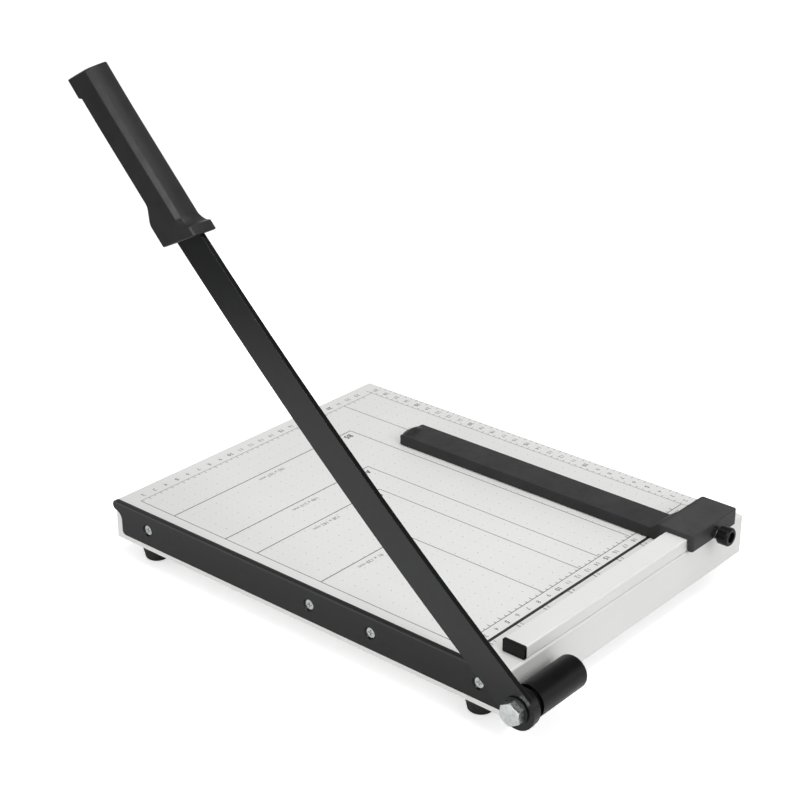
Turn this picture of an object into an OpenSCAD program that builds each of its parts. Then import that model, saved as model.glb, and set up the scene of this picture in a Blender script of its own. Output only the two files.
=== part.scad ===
// Guillotine paper cutter for sheets up to A4, with a sliding paper stop.
// X runs across the bed to the blade side, Y away from the user, Z up.
// The origin is the middle of the bed on the desk. The arm is drawn raised.

/* [Bed] */
// Width of the bed, across the blade
bed_w = 250; // [230:1:300]
// Depth of the bed, along the blade
bed_d = 322; // [290:1:380]
// Height of the folded skirt
skirt_h = 27.5; // [26:0.5:34]
// Thickness of the steel sheet
sheet_t = 1; // [0.8:0.1:1.4]
// Outer radius of the folds along the top edges
fold_r = 1.6; // [1.5:0.1:3]
// Width of the bottom flanges, under the long sides only
flange_w = 24; // [23:0.5:30]

/* [Feet] */
// Height of a rubber foot
foot_h = 11; // [9:0.5:16]
// Diameter of a foot at its top
foot_d = 20; // [18:0.5:21]
// Diameter of a foot at its tread
foot_tread_d = 16; // [14:0.5:17]
// Rounding of the tread's edge
foot_edge_r = 2; // [1:0.1:3]
// Distance of a foot's axis from the bed's long edge
foot_inset_x = 11.5; // [11:0.5:12]
// Distance of a foot's axis from the bed's short edge
foot_inset_y = 25; // [18:0.5:40]
// Thread diameter of the foot screws
foot_screw_d = 4; // [3.5:0.1:4.5]
// Head diameter of the foot screws
foot_head_d = 8; // [7:0.1:8.5]
// Depth of the recess for the screw's head in a foot
foot_head_depth = 4; // [3.5:0.1:5]

/* [Fixed blade] */
// Thickness of the fixed blade
fixed_t = 3; // [2.8:0.1:4]
// Height of the fixed blade
fixed_h = 23; // [21:0.5:26]
// How far its cutting edge stands above the bed
fixed_rise = 1.2; // [0.5:0.1:2]
// Radius of the rounded nose at the front
nose_r = 3.5; // [3:0.1:4]
// Radius of the hollow under the nose
notch_r = 6; // [5:0.1:7]
// Gap from the bed's front edge back to the nose
nose_inset = 0.3; // [0:0.1:2]
// Gap from the bed's front edge back to the lower part of the blade
shoulder_inset = 8.3; // [8:0.1:9]
// Radius of the lower front corner
corner_r = 3; // [1:0.1:5]
// Radius of the eye round the pivot
eye_r = 12; // [11:0.1:13]

/* [Fixed blade screws] */
// Thread diameter
blade_screw_d = 4; // [3.5:0.1:4.5]
// Diameter of the countersunk head
blade_head_d = 7.6; // [7:0.1:8.4]
// How far the heads lie below the blade's face
blade_head_sink = 0.4; // [0.2:0.1:0.6]
// Height of the screws below the cutting edge
blade_screw_drop = 12; // [10:0.5:13]
// Distance of the first screw from the bed's front edge
screw_front_inset = 33; // [25:1:40]
// Distance of the last screw from the bed's back edge
screw_back_inset = 16; // [14:0.5:24]
// Distance from the last screw to the third
screw_step_a = 81; // [70:1:90]
// Distance from the third screw to the second
screw_step_b = 49; // [40:1:60]

/* [Pivot] */
// Distance of the pivot behind the bed's back edge
pivot_out = 13.7; // [13:0.1:16]
// Depth of the pivot below the bed's top
pivot_drop = 13.6; // [12.5:0.1:14.5]
// Shank diameter of the pivot bolt
bolt_d = 8; // [7:0.1:9]
// Shank length of the pivot bolt
bolt_len = 50; // [48:0.5:52]
// Hexagon size of the bolt and the lock nut, across flats
bolt_af = 13; // [12.5:0.1:14]
// Height of the bolt's head
bolt_head_h = 5.3; // [4:0.1:6]
// Height of the lock nut
lock_nut_h = 8; // [6:0.1:8.5]
// Diameter of the washer under the bolt's head
washer_d = 17; // [16:0.1:18]
// Thickness of that washer
washer_t = 1.2; // [1:0.1:1.6]
// Diameter of the friction washer between the blades
friction_d = 22; // [20:0.1:23]
// Thickness of the friction washer
friction_t = 0.3; // [0.2:0.05:0.6]
// Outer diameter of the spring cap
cap_d = 21; // [20:0.1:24]
// Wall of the spring cap
cap_wall = 2; // [1.6:0.1:2.2]
// Length of the spring cap
cap_len = 42; // [41:0.5:46]
// Rounding of the cap's closed end
cap_edge_r = 2.4; // [1:0.1:3]
// Length of the neck between the fixed blade and the cap
neck_len = 5; // [3:0.1:6]
// Length of the spring seat inside the cap
seat_grip = 5.5; // [4:0.1:6.5]
// Wire diameter of the spring
spring_wire = 1.8; // [1.4:0.1:2]
// Outer diameter of the spring
spring_d = 14; // [13:0.1:15]
// Number of turns of the spring
spring_turns = 5; // [4:1:6]
// Thickness of the plate between spring and lock nut
plate_t = 1.4; // [1:0.1:2]

/* [Upper blade] */
// Angle of the arm above the bed, as drawn
rest_angle = 42; // [30:1:60]
// Width of the blade
blade_w = 21.2; // [19:0.1:22]
// Thickness of the blade
blade_t = 3.5; // [3:0.1:4]
// Radius of the blade's bow, hollow on the spine side
bow_r = 2600; // [2000:50:4000]
// Distance from the pivot to the middle of the bow
bow_mid = 205; // [180:1:230]
// Offset of the bowed centre line to the cutting side at its middle
bow_offset = 6.25; // [5:0.25:7]
// How far the blade's full width reaches into the handle
blade_sink = 2.5; // [2:0.1:6]
// Width of the tang inside the handle
tang_w = 12; // [10:0.5:13]
// Length of the tang inside the handle
tang_len = 84; // [80:1:96]

/* [Handle] */
// Length of the grip
grip_len = 118.8; // [110:0.2:130]
// Width of the grip, spine side to cutting side
grip_w = 18.7; // [17:0.1:20]
// Thickness of the grip, along the pivot's axis
grip_t = 18.3; // [17:0.1:20]
// Rounding of the grip's edges on the spine side
grip_top_r = 4.5; // [3:0.1:7]
// Rounding of the grip's edges on the cutting side
grip_low_r = 0.9; // [0.5:0.1:4]
// Offset of the grip's middle from the blade's, away from the cutting side
grip_shift = 0.65; // [0:0.05:1]
// Tilt of the grip towards the spine side
grip_tilt = 4.2; // [2:0.1:6]
// Offset of the grip's axis from the blade's centre line, to the spine side
handle_lift = 0.15; // [0:0.05:3]
// How far the guard's tip lies behind the bed's front edge with the blade closed
guard_lap = 2.5; // [0:0.1:4]
// Slant of the guard's underside
guard_slant = 17.8; // [14:0.1:24]
// Thickness of the guard's brim
brim_t = 7.2; // [6:0.1:8]
// How far the brim stands out on the spine side
brim_out = 4.5; // [3:0.1:7]
// How far the guard stands out on the cutting side
guard_out = 6.6; // [6:0.1:9]
// Length of the guard along the grip
guard_len = 30.5; // [26:0.5:34]
// Length of the guard's ramp down from the grip
guard_ramp = 9.8; // [6:0.1:14]
// Slant of the grip's free end
end_slant = 15.6; // [0:0.1:24]
// Length of the lip at the free end
lip_len = 13; // [8:0.5:16]
// How far the end lip stands out
lip_out = 2.3; // [1:0.1:3]
// Thread diameter of the handle screws
handle_screw_d = 3.5; // [3:0.1:4]
// Head diameter of the handle screws
handle_head_d = 7; // [6:0.1:7.5]
// Distance of the first handle screw from the guard
handle_screw_at = 30; // [26:1:36]
// Distance between the handle screws
handle_screw_step = 40; // [34:1:44]

/* [Fence rail] */
// Width of the rail
rail_w = 16; // [15:0.1:18]
// Height of the rail
rail_h = 8.5; // [8:0.1:10]
// Wall of the rail
rail_wall = 1.2; // [1:0.1:1.4]
// Rounding of the rail's long edges
rail_edge_r = 1.1; // [0.8:0.1:1.4]
// Distance of the rail's outer face from the bed's back edge
rail_setback = 0.5; // [0.3:0.1:2]
// Distance of the rail's near end from the blade edge
rail_near_gap = 19; // [17:0.5:30]
// Distance of the rail's far end from the other edge
rail_far_gap = 16.5; // [12:0.5:18]
// Thickness of the end plugs outside the rail
plug_t = 2; // [1.5:0.1:3]
// Length of the end plugs inside the rail
plug_len = 6; // [4:0.5:6.5]
// Thread diameter of the rail screws
rail_screw_d = 3.5; // [3:0.1:4]
// Head diameter of the rail screws
rail_head_d = 7; // [6:0.1:7.5]
// Distance of the near rail screw from the rail's near end
rail_screw_inset = 24; // [18:1:40]
// Distance of the far rail screw from the bed's far edge
rail_screw_far = 28; // [28:0.5:40]

/* [Paper stop] */
// Distance of the stop's guiding face from the bed's far edge
stop_inset = 66.4; // [60:0.2:85]
// Width of the stop's bar
stop_w = 23.6; // [20:0.2:25]
// Height of the stop's bar
stop_h = 7.2; // [6.6:0.1:7.6]
// Length of the bar from the rail to its free end
stop_len = 218; // [180:1:240]
// Wall of the moulding
stop_wall = 2.2; // [1.8:0.1:2.6]
// Bulge of the bar's free end
stop_bulge = 1.5; // [0.5:0.1:2.5]
// Rounding of the free end's top edge
stop_end_r = 3.2; // [2:0.1:4]
// Width of the saddle head
head_w = 51; // [44:0.5:54]
// Thickness of the saddle's top
head_t = 3.3; // [3:0.1:4]
// Thickness of the saddle's inner side
head_inner_t = 5; // [4:0.1:6]
// Thickness of the saddle's outer lip
lip_t = 4; // [3.8:0.1:5]
// Height of the outer lip below the saddle's top
lip_drop = 8; // [7.6:0.1:8.2]
// Length of the ramp from the bar up to the saddle
ramp_len = 6; // [4:0.5:10]
// Radius of the corner between bar and saddle
web_r = 6; // [3:0.5:8]
// Rounding of the saddle's upright edges
head_edge_r = 1.8; // [1:0.1:3]

/* [Clamp screw] */
// Thread diameter of the clamp screw
clamp_d = 4; // [3.5:0.1:4.2]
// Diameter of the pressure pad
pad_d = 6.2; // [5.6:0.1:6.3]
// Thickness of the pressure pad
pad_t = 1.2; // [1:0.1:1.4]
// Travel of the pad from rest to the rail
pad_travel = 1; // [0.8:0.1:1.1]
// Body diameter of the threaded insert
insert_d = 5.6; // [5:0.1:6]
// Hexagon size of the insert's flange, across flats
insert_af = 7; // [6.5:0.1:8]
// Thickness of the insert's flange
insert_flange_t = 2; // [1.5:0.1:2.5]
// Diameter of the knob
knob_d = 12.2; // [11:0.1:12.6]
// Length of the knob
knob_len = 8; // [7:0.1:10]
// Diameter of the hollow in the knob's end
knob_hollow_d = 7; // [5:0.1:8]
// Depth of the hollow in the knob's end
knob_hollow = 2.6; // [1:0.1:3]
// Gap between the insert and the knob, as drawn
knob_gap = 2; // [1.6:0.1:3]

/* [Hidden] */
$fn = 64;

// Clearances: a loose hole, a seat, a running bore, a sliding gap and a flat gap
hole_gap = 0.15;
seat_gap = 0.05;
run_gap = 0.08;
slide_gap = 0.3;
face_gap = 0.05;
cut = 1;

white = "#e4e4e2";
dark_steel = "#404042";
black_plastic = "#232324";
zinc = "#c3c8c6";
rubber = "#1b1b1b";
nylon = "#d9d6cc";

// Nuts and screw heads of the small fasteners
nut_af = 7;
nut_h = 3.2;
thread_out = 1;
pan_h = 2.2;
recess_w = 0.9;
recess_depth = 1.1;
recess_share = 0.6;
chamfer_angle = 60;
bolt_face_inset = 0.25;
bolt_face_d = bolt_af - 2 * bolt_face_inset;
plate_margin = 1.2;
rail_thread_out = 3;

// Levels and planes
bed_top = foot_h + skirt_h;
edge_x = bed_w / 2;
back_y = bed_d / 2;
front_y = -bed_d / 2;
fixed_top = bed_top + fixed_rise;
fixed_bottom = fixed_top - fixed_h;
fixed_x = edge_x + fixed_t;
pivot_y = back_y + pivot_out;
pivot_z = bed_top - pivot_drop;
blade_in_x = fixed_x + friction_t + face_gap;
blade_x = blade_in_x + blade_t;
washer_x = blade_x + face_gap;
head_x = washer_x + washer_t;
neck_x = edge_x - neck_len;
cap_end_x = neck_x - cap_len;
seat_end_x = neck_x - seat_grip;
bolt_end_x = head_x - bolt_len;
nut_x = bolt_end_x + thread_out;
plate_x = nut_x + lock_nut_h;
spring_x = plate_x + plate_t;

// Fixed blade screws along Y, at one height
screw_last_y = back_y - screw_back_inset;
fixed_screw_y = [
  front_y + screw_front_inset,
  screw_last_y - screw_step_a - screw_step_b,
  screw_last_y - screw_step_a,
  screw_last_y
];
fixed_screw_z = fixed_top - blade_screw_drop;

// Rail and its screws
rail_y1 = back_y - rail_setback;
rail_y0 = rail_y1 - rail_w;
rail_x1 = edge_x - rail_near_gap;
rail_x0 = -edge_x + rail_far_gap;
rail_top = bed_top + rail_h;
rail_mid_y = (rail_y0 + rail_y1) / 2;
rail_screw_x0 = -edge_x + rail_screw_far;
rail_screw_x1 = rail_x1 - rail_screw_inset;
rail_screw_x = [rail_screw_x0, (rail_screw_x0 + rail_screw_x1) / 2, rail_screw_x1];

// Feet
foot_x = edge_x - foot_inset_x;
foot_y = back_y - foot_inset_y;

// Arm frame: u runs along the chord from the pivot, q to the spine side
guard_u = pivot_y - front_y - guard_lap;
guard_w = grip_w / 2 + guard_out;
brim_w = grip_w / 2 + brim_out;
handle_u = guard_u - guard_w * (tan(guard_slant) * cos(grip_tilt) + sin(grip_tilt));
handle_q = bow(handle_u) + handle_lift;
guard_from = under_s(brim_w) - cut;
bow_steps = 26;
blade_end_u = handle_u + blade_sink;
handle_mid_x = (blade_in_x + blade_x) / 2 - grip_shift;
handle_out_x = handle_mid_x + grip_t / 2;
handle_in_x = handle_mid_x - grip_t / 2;
handle_sink = 0.6;
handle_screw_bite = 3;
handle_screw_len = blade_x - handle_in_x + handle_screw_bite - handle_sink - pan_h;

// Paper stop
stop_x = -edge_x + stop_inset;
stop_z0 = bed_top + slide_gap;
stop_top = stop_z0 + stop_h;
saddle_gap = 0.2;
saddle_z = rail_top + saddle_gap;
head_top = saddle_z + head_t;
saddle_in_y = rail_y0 - slide_gap;
head_y0 = saddle_in_y - head_inner_t;
lip_gap = 0.7;
lip_y0 = rail_y1 + lip_gap;
lip_y1 = lip_y0 + lip_t;
lip_z = saddle_z - lip_drop;
stop_y0 = rail_y0 - stop_len;
stop_left = stop_x - stop_w;
stop_bays = 5;
head_left = stop_x - head_w;

// Clamp screw on the lip
clamp_x = stop_x - head_w / 2;
clamp_z = saddle_z - pad_d / 2 - slide_gap;
pad_stop_gap = 0.1;
pad_y = rail_y1 + pad_stop_gap + pad_travel;
pocket_y = pad_y + pad_t + face_gap;
tip_depth = 0.5;
insert_end_y = lip_y1 + insert_flange_t;
knob_y = insert_end_y + knob_gap;
knob_grip = 4.2;
knob_edge = 0.8;

// Centre line of the bowed blade at a distance u from the pivot
function bow(u) = -bow_offset + pow(u - bow_mid, 2) / (2 * bow_r);

// End of the blade's full width at an offset q, parallel to the guard's underside
function blade_to(q) = blade_end_u - q * tan(guard_slant + grip_tilt);

// Places of the guard's slanted underside and of the grip's slanted end
// along the grip, at a height q
function under_s(q) = -q * tan(guard_slant);
function end_s(q) = grip_len - q * tan(end_slant);

// Point where a line from p touches a circle, on the side given by turn
function touch(p, c, r, turn) =
  let (d = c - p, far = norm(d), reach = sqrt(far * far - r * r))
  let (a = atan2(d[1], d[0]) + turn * asin(r / far))
  p + reach * [cos(a), sin(a)];

// Flat shapes drawn in Y and Z, extruded along X from x0
module upright(x0, t) {
  translate([x0, 0, 0])
    rotate([90, 0, 90])
      linear_extrude(t) children();
}

// Solids drawn on the pivot's axis, with local Z along X from x
module on_pivot(x) {
  translate([x, pivot_y, pivot_z]) rotate([0, 90, 0]) children();
}

// Arm frame, with local Z pointing inward from plane x
module arm_frame(x) {
  translate([x, pivot_y, pivot_z])
    rotate([90, 0, -90])
      rotate([0, 0, rest_angle]) children();
}

// Handle frame: local X along the grip, Y to the spine side, Z inward
module handle_frame(x) {
  arm_frame(x)
    translate([handle_u, handle_q, 0])
      rotate([0, 0, grip_tilt]) children();
}

// Solids on the clamp screw's axis, with local Z along Y from y
module on_clamp(y) {
  translate([clamp_x, y, clamp_z]) rotate([-90, 0, 0]) children();
}

module ring(d, bore, h) {
  difference() {
    cylinder(d = d, h = h);
    translate([0, 0, -cut]) cylinder(d = bore, h = h + 2 * cut);
  }
}

module hexagon(af, h) {
  cylinder(d = af / cos(30), h = h, $fn = 6);
}

module hex_nut(af, bore, h) {
  difference() {
    hexagon(af, h);
    translate([0, 0, -cut]) cylinder(d = bore, h = h + 2 * cut);
  }
}

// Cross recess cut into a screw's head from above
module cross_recess(span) {
  for (a = [0, 90])
    rotate([0, 0, a])
      translate([-span / 2, -recess_w / 2, -recess_depth])
        cube([span, recess_w, recess_depth + cut]);
}

// Screw with its head's top at Z = 0 and its shank pointing down
module pan_screw(d, head_d, len) {
  difference() {
    union() {
      translate([0, 0, -pan_h]) cylinder(d = head_d, h = pan_h);
      translate([0, 0, -pan_h - len]) cylinder(d = d, h = len);
    }
    cross_recess(head_d * recess_share);
  }
}

module flat_screw(d, head_d, len) {
  cone_h = (head_d - d) / 2;
  difference() {
    union() {
      translate([0, 0, -cone_h]) cylinder(d1 = d, d2 = head_d, h = cone_h);
      translate([0, 0, -len]) cylinder(d = d, h = len);
    }
    cross_recess(head_d * recess_share);
  }
}

// Rectangle with its own corner radii below and above
module soft_rect(w, h, r_low, r_high) {
  difference() {
    translate([-w / 2, -h / 2]) square([w, h]);
    for (s = [-1, 1]) {
      corner_bite(s, -1, w, h, r_low);
      corner_bite(s, 1, w, h, r_high);
    }
  }
}

module corner_bite(sx, sy, w, h, r) {
  difference() {
    translate([sx * w / 2, sy * h / 2]) square(2 * r, center = true);
    translate([sx * (w / 2 - r), sy * (h / 2 - r)]) circle(r = r);
  }
}

// Block from z0 up to z1 whose four top edges are folded with radius r
module folded_block(w, d, z0, z1, r) {
  h = z1 - z0;
  translate([0, 0, z0 + h / 2])
    intersection() {
      rotate([90, 0, 0])
        linear_extrude(d, center = true) top_rounded(w, h, r);
      rotate([90, 0, 90])
        linear_extrude(w, center = true) top_rounded(d, h, r);
    }
}

module top_rounded(w, h, r) {
  difference() {
    translate([-w / 2, -h / 2]) square([w, h]);
    for (s = [-1, 1]) corner_bite(s, 1, w, h, r);
  }
}

module bed_plate() {
  color(white)
    difference() {
      folded_block(bed_w, bed_d, foot_h, bed_top, fold_r);
      folded_block(
        bed_w - 2 * sheet_t, bed_d - 2 * sheet_t,
        foot_h + sheet_t, bed_top - sheet_t, fold_r - sheet_t
      );
      translate([-edge_x + flange_w, front_y + sheet_t, foot_h - cut])
        cube([bed_w - 2 * flange_w, bed_d - 2 * sheet_t, sheet_t + 2 * cut]);
      for (y = fixed_screw_y)
        translate([edge_x - sheet_t - cut, y, fixed_screw_z])
          rotate([0, 90, 0])
            cylinder(d = blade_screw_d + 2 * hole_gap, h = sheet_t + 2 * cut);
      for (x = rail_screw_x)
        translate([x, rail_mid_y, bed_top - sheet_t - cut])
          cylinder(d = rail_screw_d + 2 * hole_gap, h = sheet_t + 2 * cut);
      for (sx = [-1, 1], sy = [-1, 1])
        translate([sx * foot_x, sy * foot_y, foot_h - cut])
          cylinder(d = foot_screw_d + 2 * hole_gap, h = sheet_t + 2 * cut);
    }
}

// Outline of the fixed blade: nose, hollow, shoulder, and the eye at the back
module fixed_outline() {
  nose = [front_y + nose_inset + nose_r, fixed_top - nose_r];
  shoulder = front_y + shoulder_inset;
  hollow_y = shoulder - notch_r;
  hollow_z = nose[1] - sqrt(pow(nose_r + notch_r, 2) - pow(nose[0] - hollow_y, 2));
  pivot = [pivot_y, pivot_z];
  top = touch([back_y, fixed_top], pivot, eye_r, 1);
  low = touch([back_y, fixed_bottom], pivot, eye_r, -1);
  difference() {
    union() {
      polygon([
        [shoulder, fixed_bottom], [back_y, fixed_bottom], low, pivot, top,
        [back_y, fixed_top], [shoulder, fixed_top]
      ]);
      translate([nose[0], hollow_z])
        square([shoulder - nose[0] + cut, fixed_top - hollow_z]);
      translate(nose) circle(r = nose_r);
      translate(pivot) circle(r = eye_r);
    }
    translate([hollow_y, hollow_z]) circle(r = notch_r);
    translate([shoulder, fixed_bottom])
      difference() {
        square(2 * corner_r, center = true);
        translate([corner_r, corner_r]) circle(r = corner_r);
      }
  }
}

module fixed_blade() {
  sink = blade_head_sink;
  head_d = blade_head_d + 2 * hole_gap;
  hole_d = blade_screw_d + 2 * hole_gap;
  cone_h = (head_d - hole_d) / 2;
  color(dark_steel)
    difference() {
      upright(edge_x, fixed_t) fixed_outline();
      on_pivot(edge_x - cut) cylinder(d = bolt_d + 2 * seat_gap, h = fixed_t + 2 * cut);
      for (y = fixed_screw_y)
        translate([fixed_x, y, fixed_screw_z])
          rotate([0, 90, 0]) {
            translate([0, 0, -sink]) cylinder(d = head_d, h = sink + cut);
            translate([0, 0, -sink - cone_h]) cylinder(d1 = hole_d, d2 = head_d, h = cone_h);
            translate([0, 0, -fixed_t - cut]) cylinder(d = hole_d, h = fixed_t);
          }
    }
}

module fixed_blade_screws() {
  len = fixed_t - blade_head_sink + sheet_t + nut_h + thread_out;
  color(zinc)
    for (y = fixed_screw_y)
      translate([fixed_x - blade_head_sink, y, fixed_screw_z])
        rotate([0, 90, 0]) flat_screw(blade_screw_d, blade_head_d, len);
}

module fixed_blade_nuts() {
  color(zinc)
    for (y = fixed_screw_y)
      translate([edge_x - sheet_t - nut_h, y, fixed_screw_z])
        rotate([0, 90, 0]) hex_nut(nut_af, blade_screw_d + 2 * seat_gap, nut_h);
}

module fence_rail() {
  len = rail_x1 - rail_x0 - 2 * plug_t;
  color(white)
    difference() {
      translate([rail_x0 + plug_t, rail_mid_y, bed_top + rail_h / 2])
        rotate([90, 0, 90])
          linear_extrude(len) soft_rect(rail_w, rail_h, rail_edge_r, rail_edge_r);
      translate([rail_x0, rail_y0 + rail_wall, bed_top + rail_wall])
        cube([rail_x1 - rail_x0, rail_w - 2 * rail_wall, rail_h - 2 * rail_wall]);
      for (x = rail_screw_x)
        translate([x, rail_mid_y, bed_top - cut])
          cylinder(d = rail_screw_d + 2 * seat_gap, h = rail_wall + 2 * cut);
    }
}

// End plug: a cover plate, and a spigot inside the rail towards -X
module fence_plug() {
  in_w = rail_w - 2 * rail_wall - 2 * hole_gap;
  in_h = rail_h - 2 * rail_wall - 2 * hole_gap;
  rotate([90, 0, 90])
    linear_extrude(plug_t) soft_rect(rail_w, rail_h, rail_edge_r, rail_edge_r);
  translate([-plug_len, -in_w / 2, -in_h / 2]) cube([plug_len + cut, in_w, in_h]);
}

module fence_plug_near() {
  color(black_plastic)
    translate([rail_x1 - plug_t, rail_mid_y, bed_top + rail_h / 2]) fence_plug();
}

module fence_plug_far() {
  color(black_plastic)
    translate([rail_x0 + plug_t, rail_mid_y, bed_top + rail_h / 2])
      rotate([0, 0, 180]) fence_plug();
}

module fence_screws() {
  len = sheet_t + rail_wall + rail_thread_out;
  color(zinc)
    for (x = rail_screw_x)
      translate([x, rail_mid_y, bed_top - sheet_t - pan_h])
        rotate([180, 0, 0]) pan_screw(rail_screw_d, rail_head_d, len);
}

// Rubber foot with a tapered side, a rounded tread and a sunk screw hole
module foot(sx, sy) {
  r_top = foot_d / 2;
  r_low = foot_tread_d / 2;
  color(rubber)
    translate([sx * foot_x, sy * foot_y, 0])
      difference() {
        rotate_extrude() {
          polygon([
            [0, foot_edge_r], [r_low, foot_edge_r], [r_top, foot_h], [0, foot_h]
          ]);
          square([r_low - foot_edge_r, foot_edge_r]);
          intersection() {
            translate([r_low - foot_edge_r, foot_edge_r]) circle(r = foot_edge_r);
            square([r_low, foot_edge_r]);
          }
        }
        translate([0, 0, -cut]) cylinder(d = foot_screw_d + 2 * hole_gap, h = foot_h + 2 * cut);
        translate([0, 0, -cut])
          cylinder(d = foot_head_d + 2 * hole_gap, h = foot_head_depth + cut);
      }
}

module foot_front_left() { foot(-1, -1); }
module foot_front_right() { foot(1, -1); }
module foot_back_left() { foot(-1, 1); }
module foot_back_right() { foot(1, 1); }

module foot_screws() {
  len = foot_h - foot_head_depth + sheet_t + nut_h + thread_out;
  color(zinc)
    for (sx = [-1, 1], sy = [-1, 1])
      translate([sx * foot_x, sy * foot_y, foot_head_depth - pan_h])
        rotate([180, 0, 0]) pan_screw(foot_screw_d, foot_head_d, len);
}

module foot_nuts() {
  color(zinc)
    for (sx = [-1, 1], sy = [-1, 1])
      translate([sx * foot_x, sy * foot_y, foot_h + sheet_t])
        hex_nut(nut_af, foot_screw_d + 2 * seat_gap, nut_h);
}

module pivot_bolt() {
  color(zinc) {
    on_pivot(bolt_end_x) cylinder(d = bolt_d, h = bolt_len + cut);
    on_pivot(head_x)
      intersection() {
        hexagon(bolt_af, bolt_head_h);
        cylinder(
          d1 = bolt_face_d + 2 * bolt_head_h * tan(chamfer_angle),
          d2 = bolt_face_d, h = bolt_head_h
        );
      }
  }
}

module pivot_washer() {
  color(dark_steel) on_pivot(washer_x) ring(washer_d, bolt_d + 2 * seat_gap, washer_t);
}

module friction_washer() {
  color(nylon) on_pivot(fixed_x) ring(friction_d, bolt_d + 2 * seat_gap, friction_t);
}

// Collar that carries the spring, with the cap pressed over its end
module spring_seat() {
  seat_d = cap_d - 2 * cap_wall - 2 * seat_gap;
  color(black_plastic)
    on_pivot(seat_end_x) ring(seat_d, bolt_d + 2 * seat_gap, edge_x - seat_end_x);
}

// Helix of six-sided wire, capped at both ends
module pivot_spring() {
  sides = 6;
  per_turn = 12;
  r = (spring_d - spring_wire) / 2;
  rise = seat_end_x - spring_x - spring_wire - 4 * face_gap;
  rings = per_turn * spring_turns;
  start = spring_wire / 2 + 2 * face_gap;
  points = [
    for (i = [0:rings], k = [0:sides - 1])
      let (a = 360 * i / per_turn, b = 360 * k / sides)
      let (d = r + spring_wire / 2 * cos(b))
      [d * cos(a), d * sin(a), start + rise * i / rings + spring_wire / 2 * sin(b)]
  ];
  skin = [
    for (i = [0:rings - 1], k = [0:sides - 1], half = [0, 1])
      let (a = i * sides + k, b = i * sides + (k + 1) % sides)
      half == 0 ? [a, b, b + sides] : [a, b + sides, a + sides]
  ];
  last = rings * sides;
  ends = [
    for (k = [1:sides - 2], tail = [0, 1])
      tail == 0 ? [0, k + 1, k] : [last, last + k, last + k + 1]
  ];
  color(zinc) on_pivot(spring_x) polyhedron(points, concat(skin, ends));
}

module spring_plate() {
  color(zinc)
    on_pivot(plate_x) ring(spring_d + plate_margin, bolt_d + 2 * seat_gap, plate_t);
}

module lock_nut() {
  color(zinc) on_pivot(nut_x) hex_nut(bolt_af, bolt_d + 2 * seat_gap, lock_nut_h);
}

module spring_cap() {
  r = cap_d / 2;
  color(black_plastic)
    on_pivot(cap_end_x)
      difference() {
        rotate_extrude() {
          translate([0, cap_edge_r]) square([r, cap_len - cap_edge_r]);
          square([r - cap_edge_r, cap_edge_r]);
          intersection() {
            translate([r - cap_edge_r, cap_edge_r]) circle(r = cap_edge_r);
            square([r, cap_edge_r]);
          }
        }
        translate([0, 0, cap_wall]) cylinder(d = cap_d - 2 * cap_wall, h = cap_len);
      }
}

// Bowed bar with the eye at the pivot, in the arm frame
module blade_outline() {
  half = blade_w / 2;
  spine = [
    for (i = [0:bow_steps])
      let (u = blade_to(half) * i / bow_steps) [u, bow(u) + half]
  ];
  edge = [
    for (i = [bow_steps:-1:0])
      let (u = blade_to(-half) * i / bow_steps) [u, bow(u) - half]
  ];
  polygon(concat(spine, edge));
  circle(r = bow(0) + half);
}

// Slot in the handle for the blade's full width
module blade_slot_outline() {
  half = blade_w / 2 + hole_gap;
  from = handle_u - guard_w;
  low = blade_to(-half) + hole_gap;
  high = blade_to(half) + hole_gap;
  polygon([
    [from, bow(handle_u) - half], [low, bow(low) - half],
    [high, bow(high) + half], [from, bow(handle_u) + half]
  ]);
}

// Tang along the grip, from inside the blade's full width
module tang_outline(gap) {
  translate([handle_u, handle_q])
    rotate(grip_tilt)
      translate([-tang_w / 2, -tang_w / 2 - gap])
        square([tang_w / 2 + tang_len + gap, tang_w + 2 * gap]);
}

module upper_blade() {
  color(dark_steel)
    difference() {
      union() {
        arm_frame(blade_x) linear_extrude(blade_t) blade_outline();
        arm_frame(blade_x) linear_extrude(blade_t) tang_outline(0);
      }
      on_pivot(blade_in_x - cut) cylinder(d = bolt_d + 2 * run_gap, h = blade_t + 2 * cut);
      handle_screw_places(blade_x)
        translate([0, 0, -cut]) cylinder(d = handle_screw_d + 2 * hole_gap, h = blade_t + 2 * cut);
    }
}

module handle_screw_places(x) {
  handle_frame(x)
    for (i = [0, 1])
      translate([handle_screw_at + i * handle_screw_step, 0, 0]) children();
}

// Side view of the guard, which flares out on the cutting side
module guard_outline() {
  root = 2 * grip_low_r;
  root_s = guard_len + root * guard_ramp / guard_out;
  root_q = root - grip_w / 2;
  polygon([
    [-cut, -guard_w], [guard_len - guard_ramp, -guard_w],
    [root_s, root_q], [root_s, 0], [-cut, 0]
  ]);
}

// Side view of the brim across the grip, up to the spine side
module brim_outline() {
  low = -grip_w / 2;
  polygon([
    [guard_from, low], [under_s(low) + brim_t, low],
    [under_s(brim_w) + brim_t, brim_w], [guard_from, brim_w]
  ]);
}

// Everything below the guard's slanted underside
module below_guard_outline() {
  low = -guard_w - cut;
  high = brim_w + cut;
  before = guard_from - brim_t;
  polygon([[under_s(low), low], [under_s(high), high], [before, high], [before, low]]);
}

// Everything beyond the grip's slanted end
module beyond_end_outline() {
  far = end_s(-guard_w) + cut;
  polygon([
    [end_s(-guard_w), -guard_w], [far, -guard_w], [far, guard_w], [end_s(guard_w), guard_w]
  ]);
}

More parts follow.
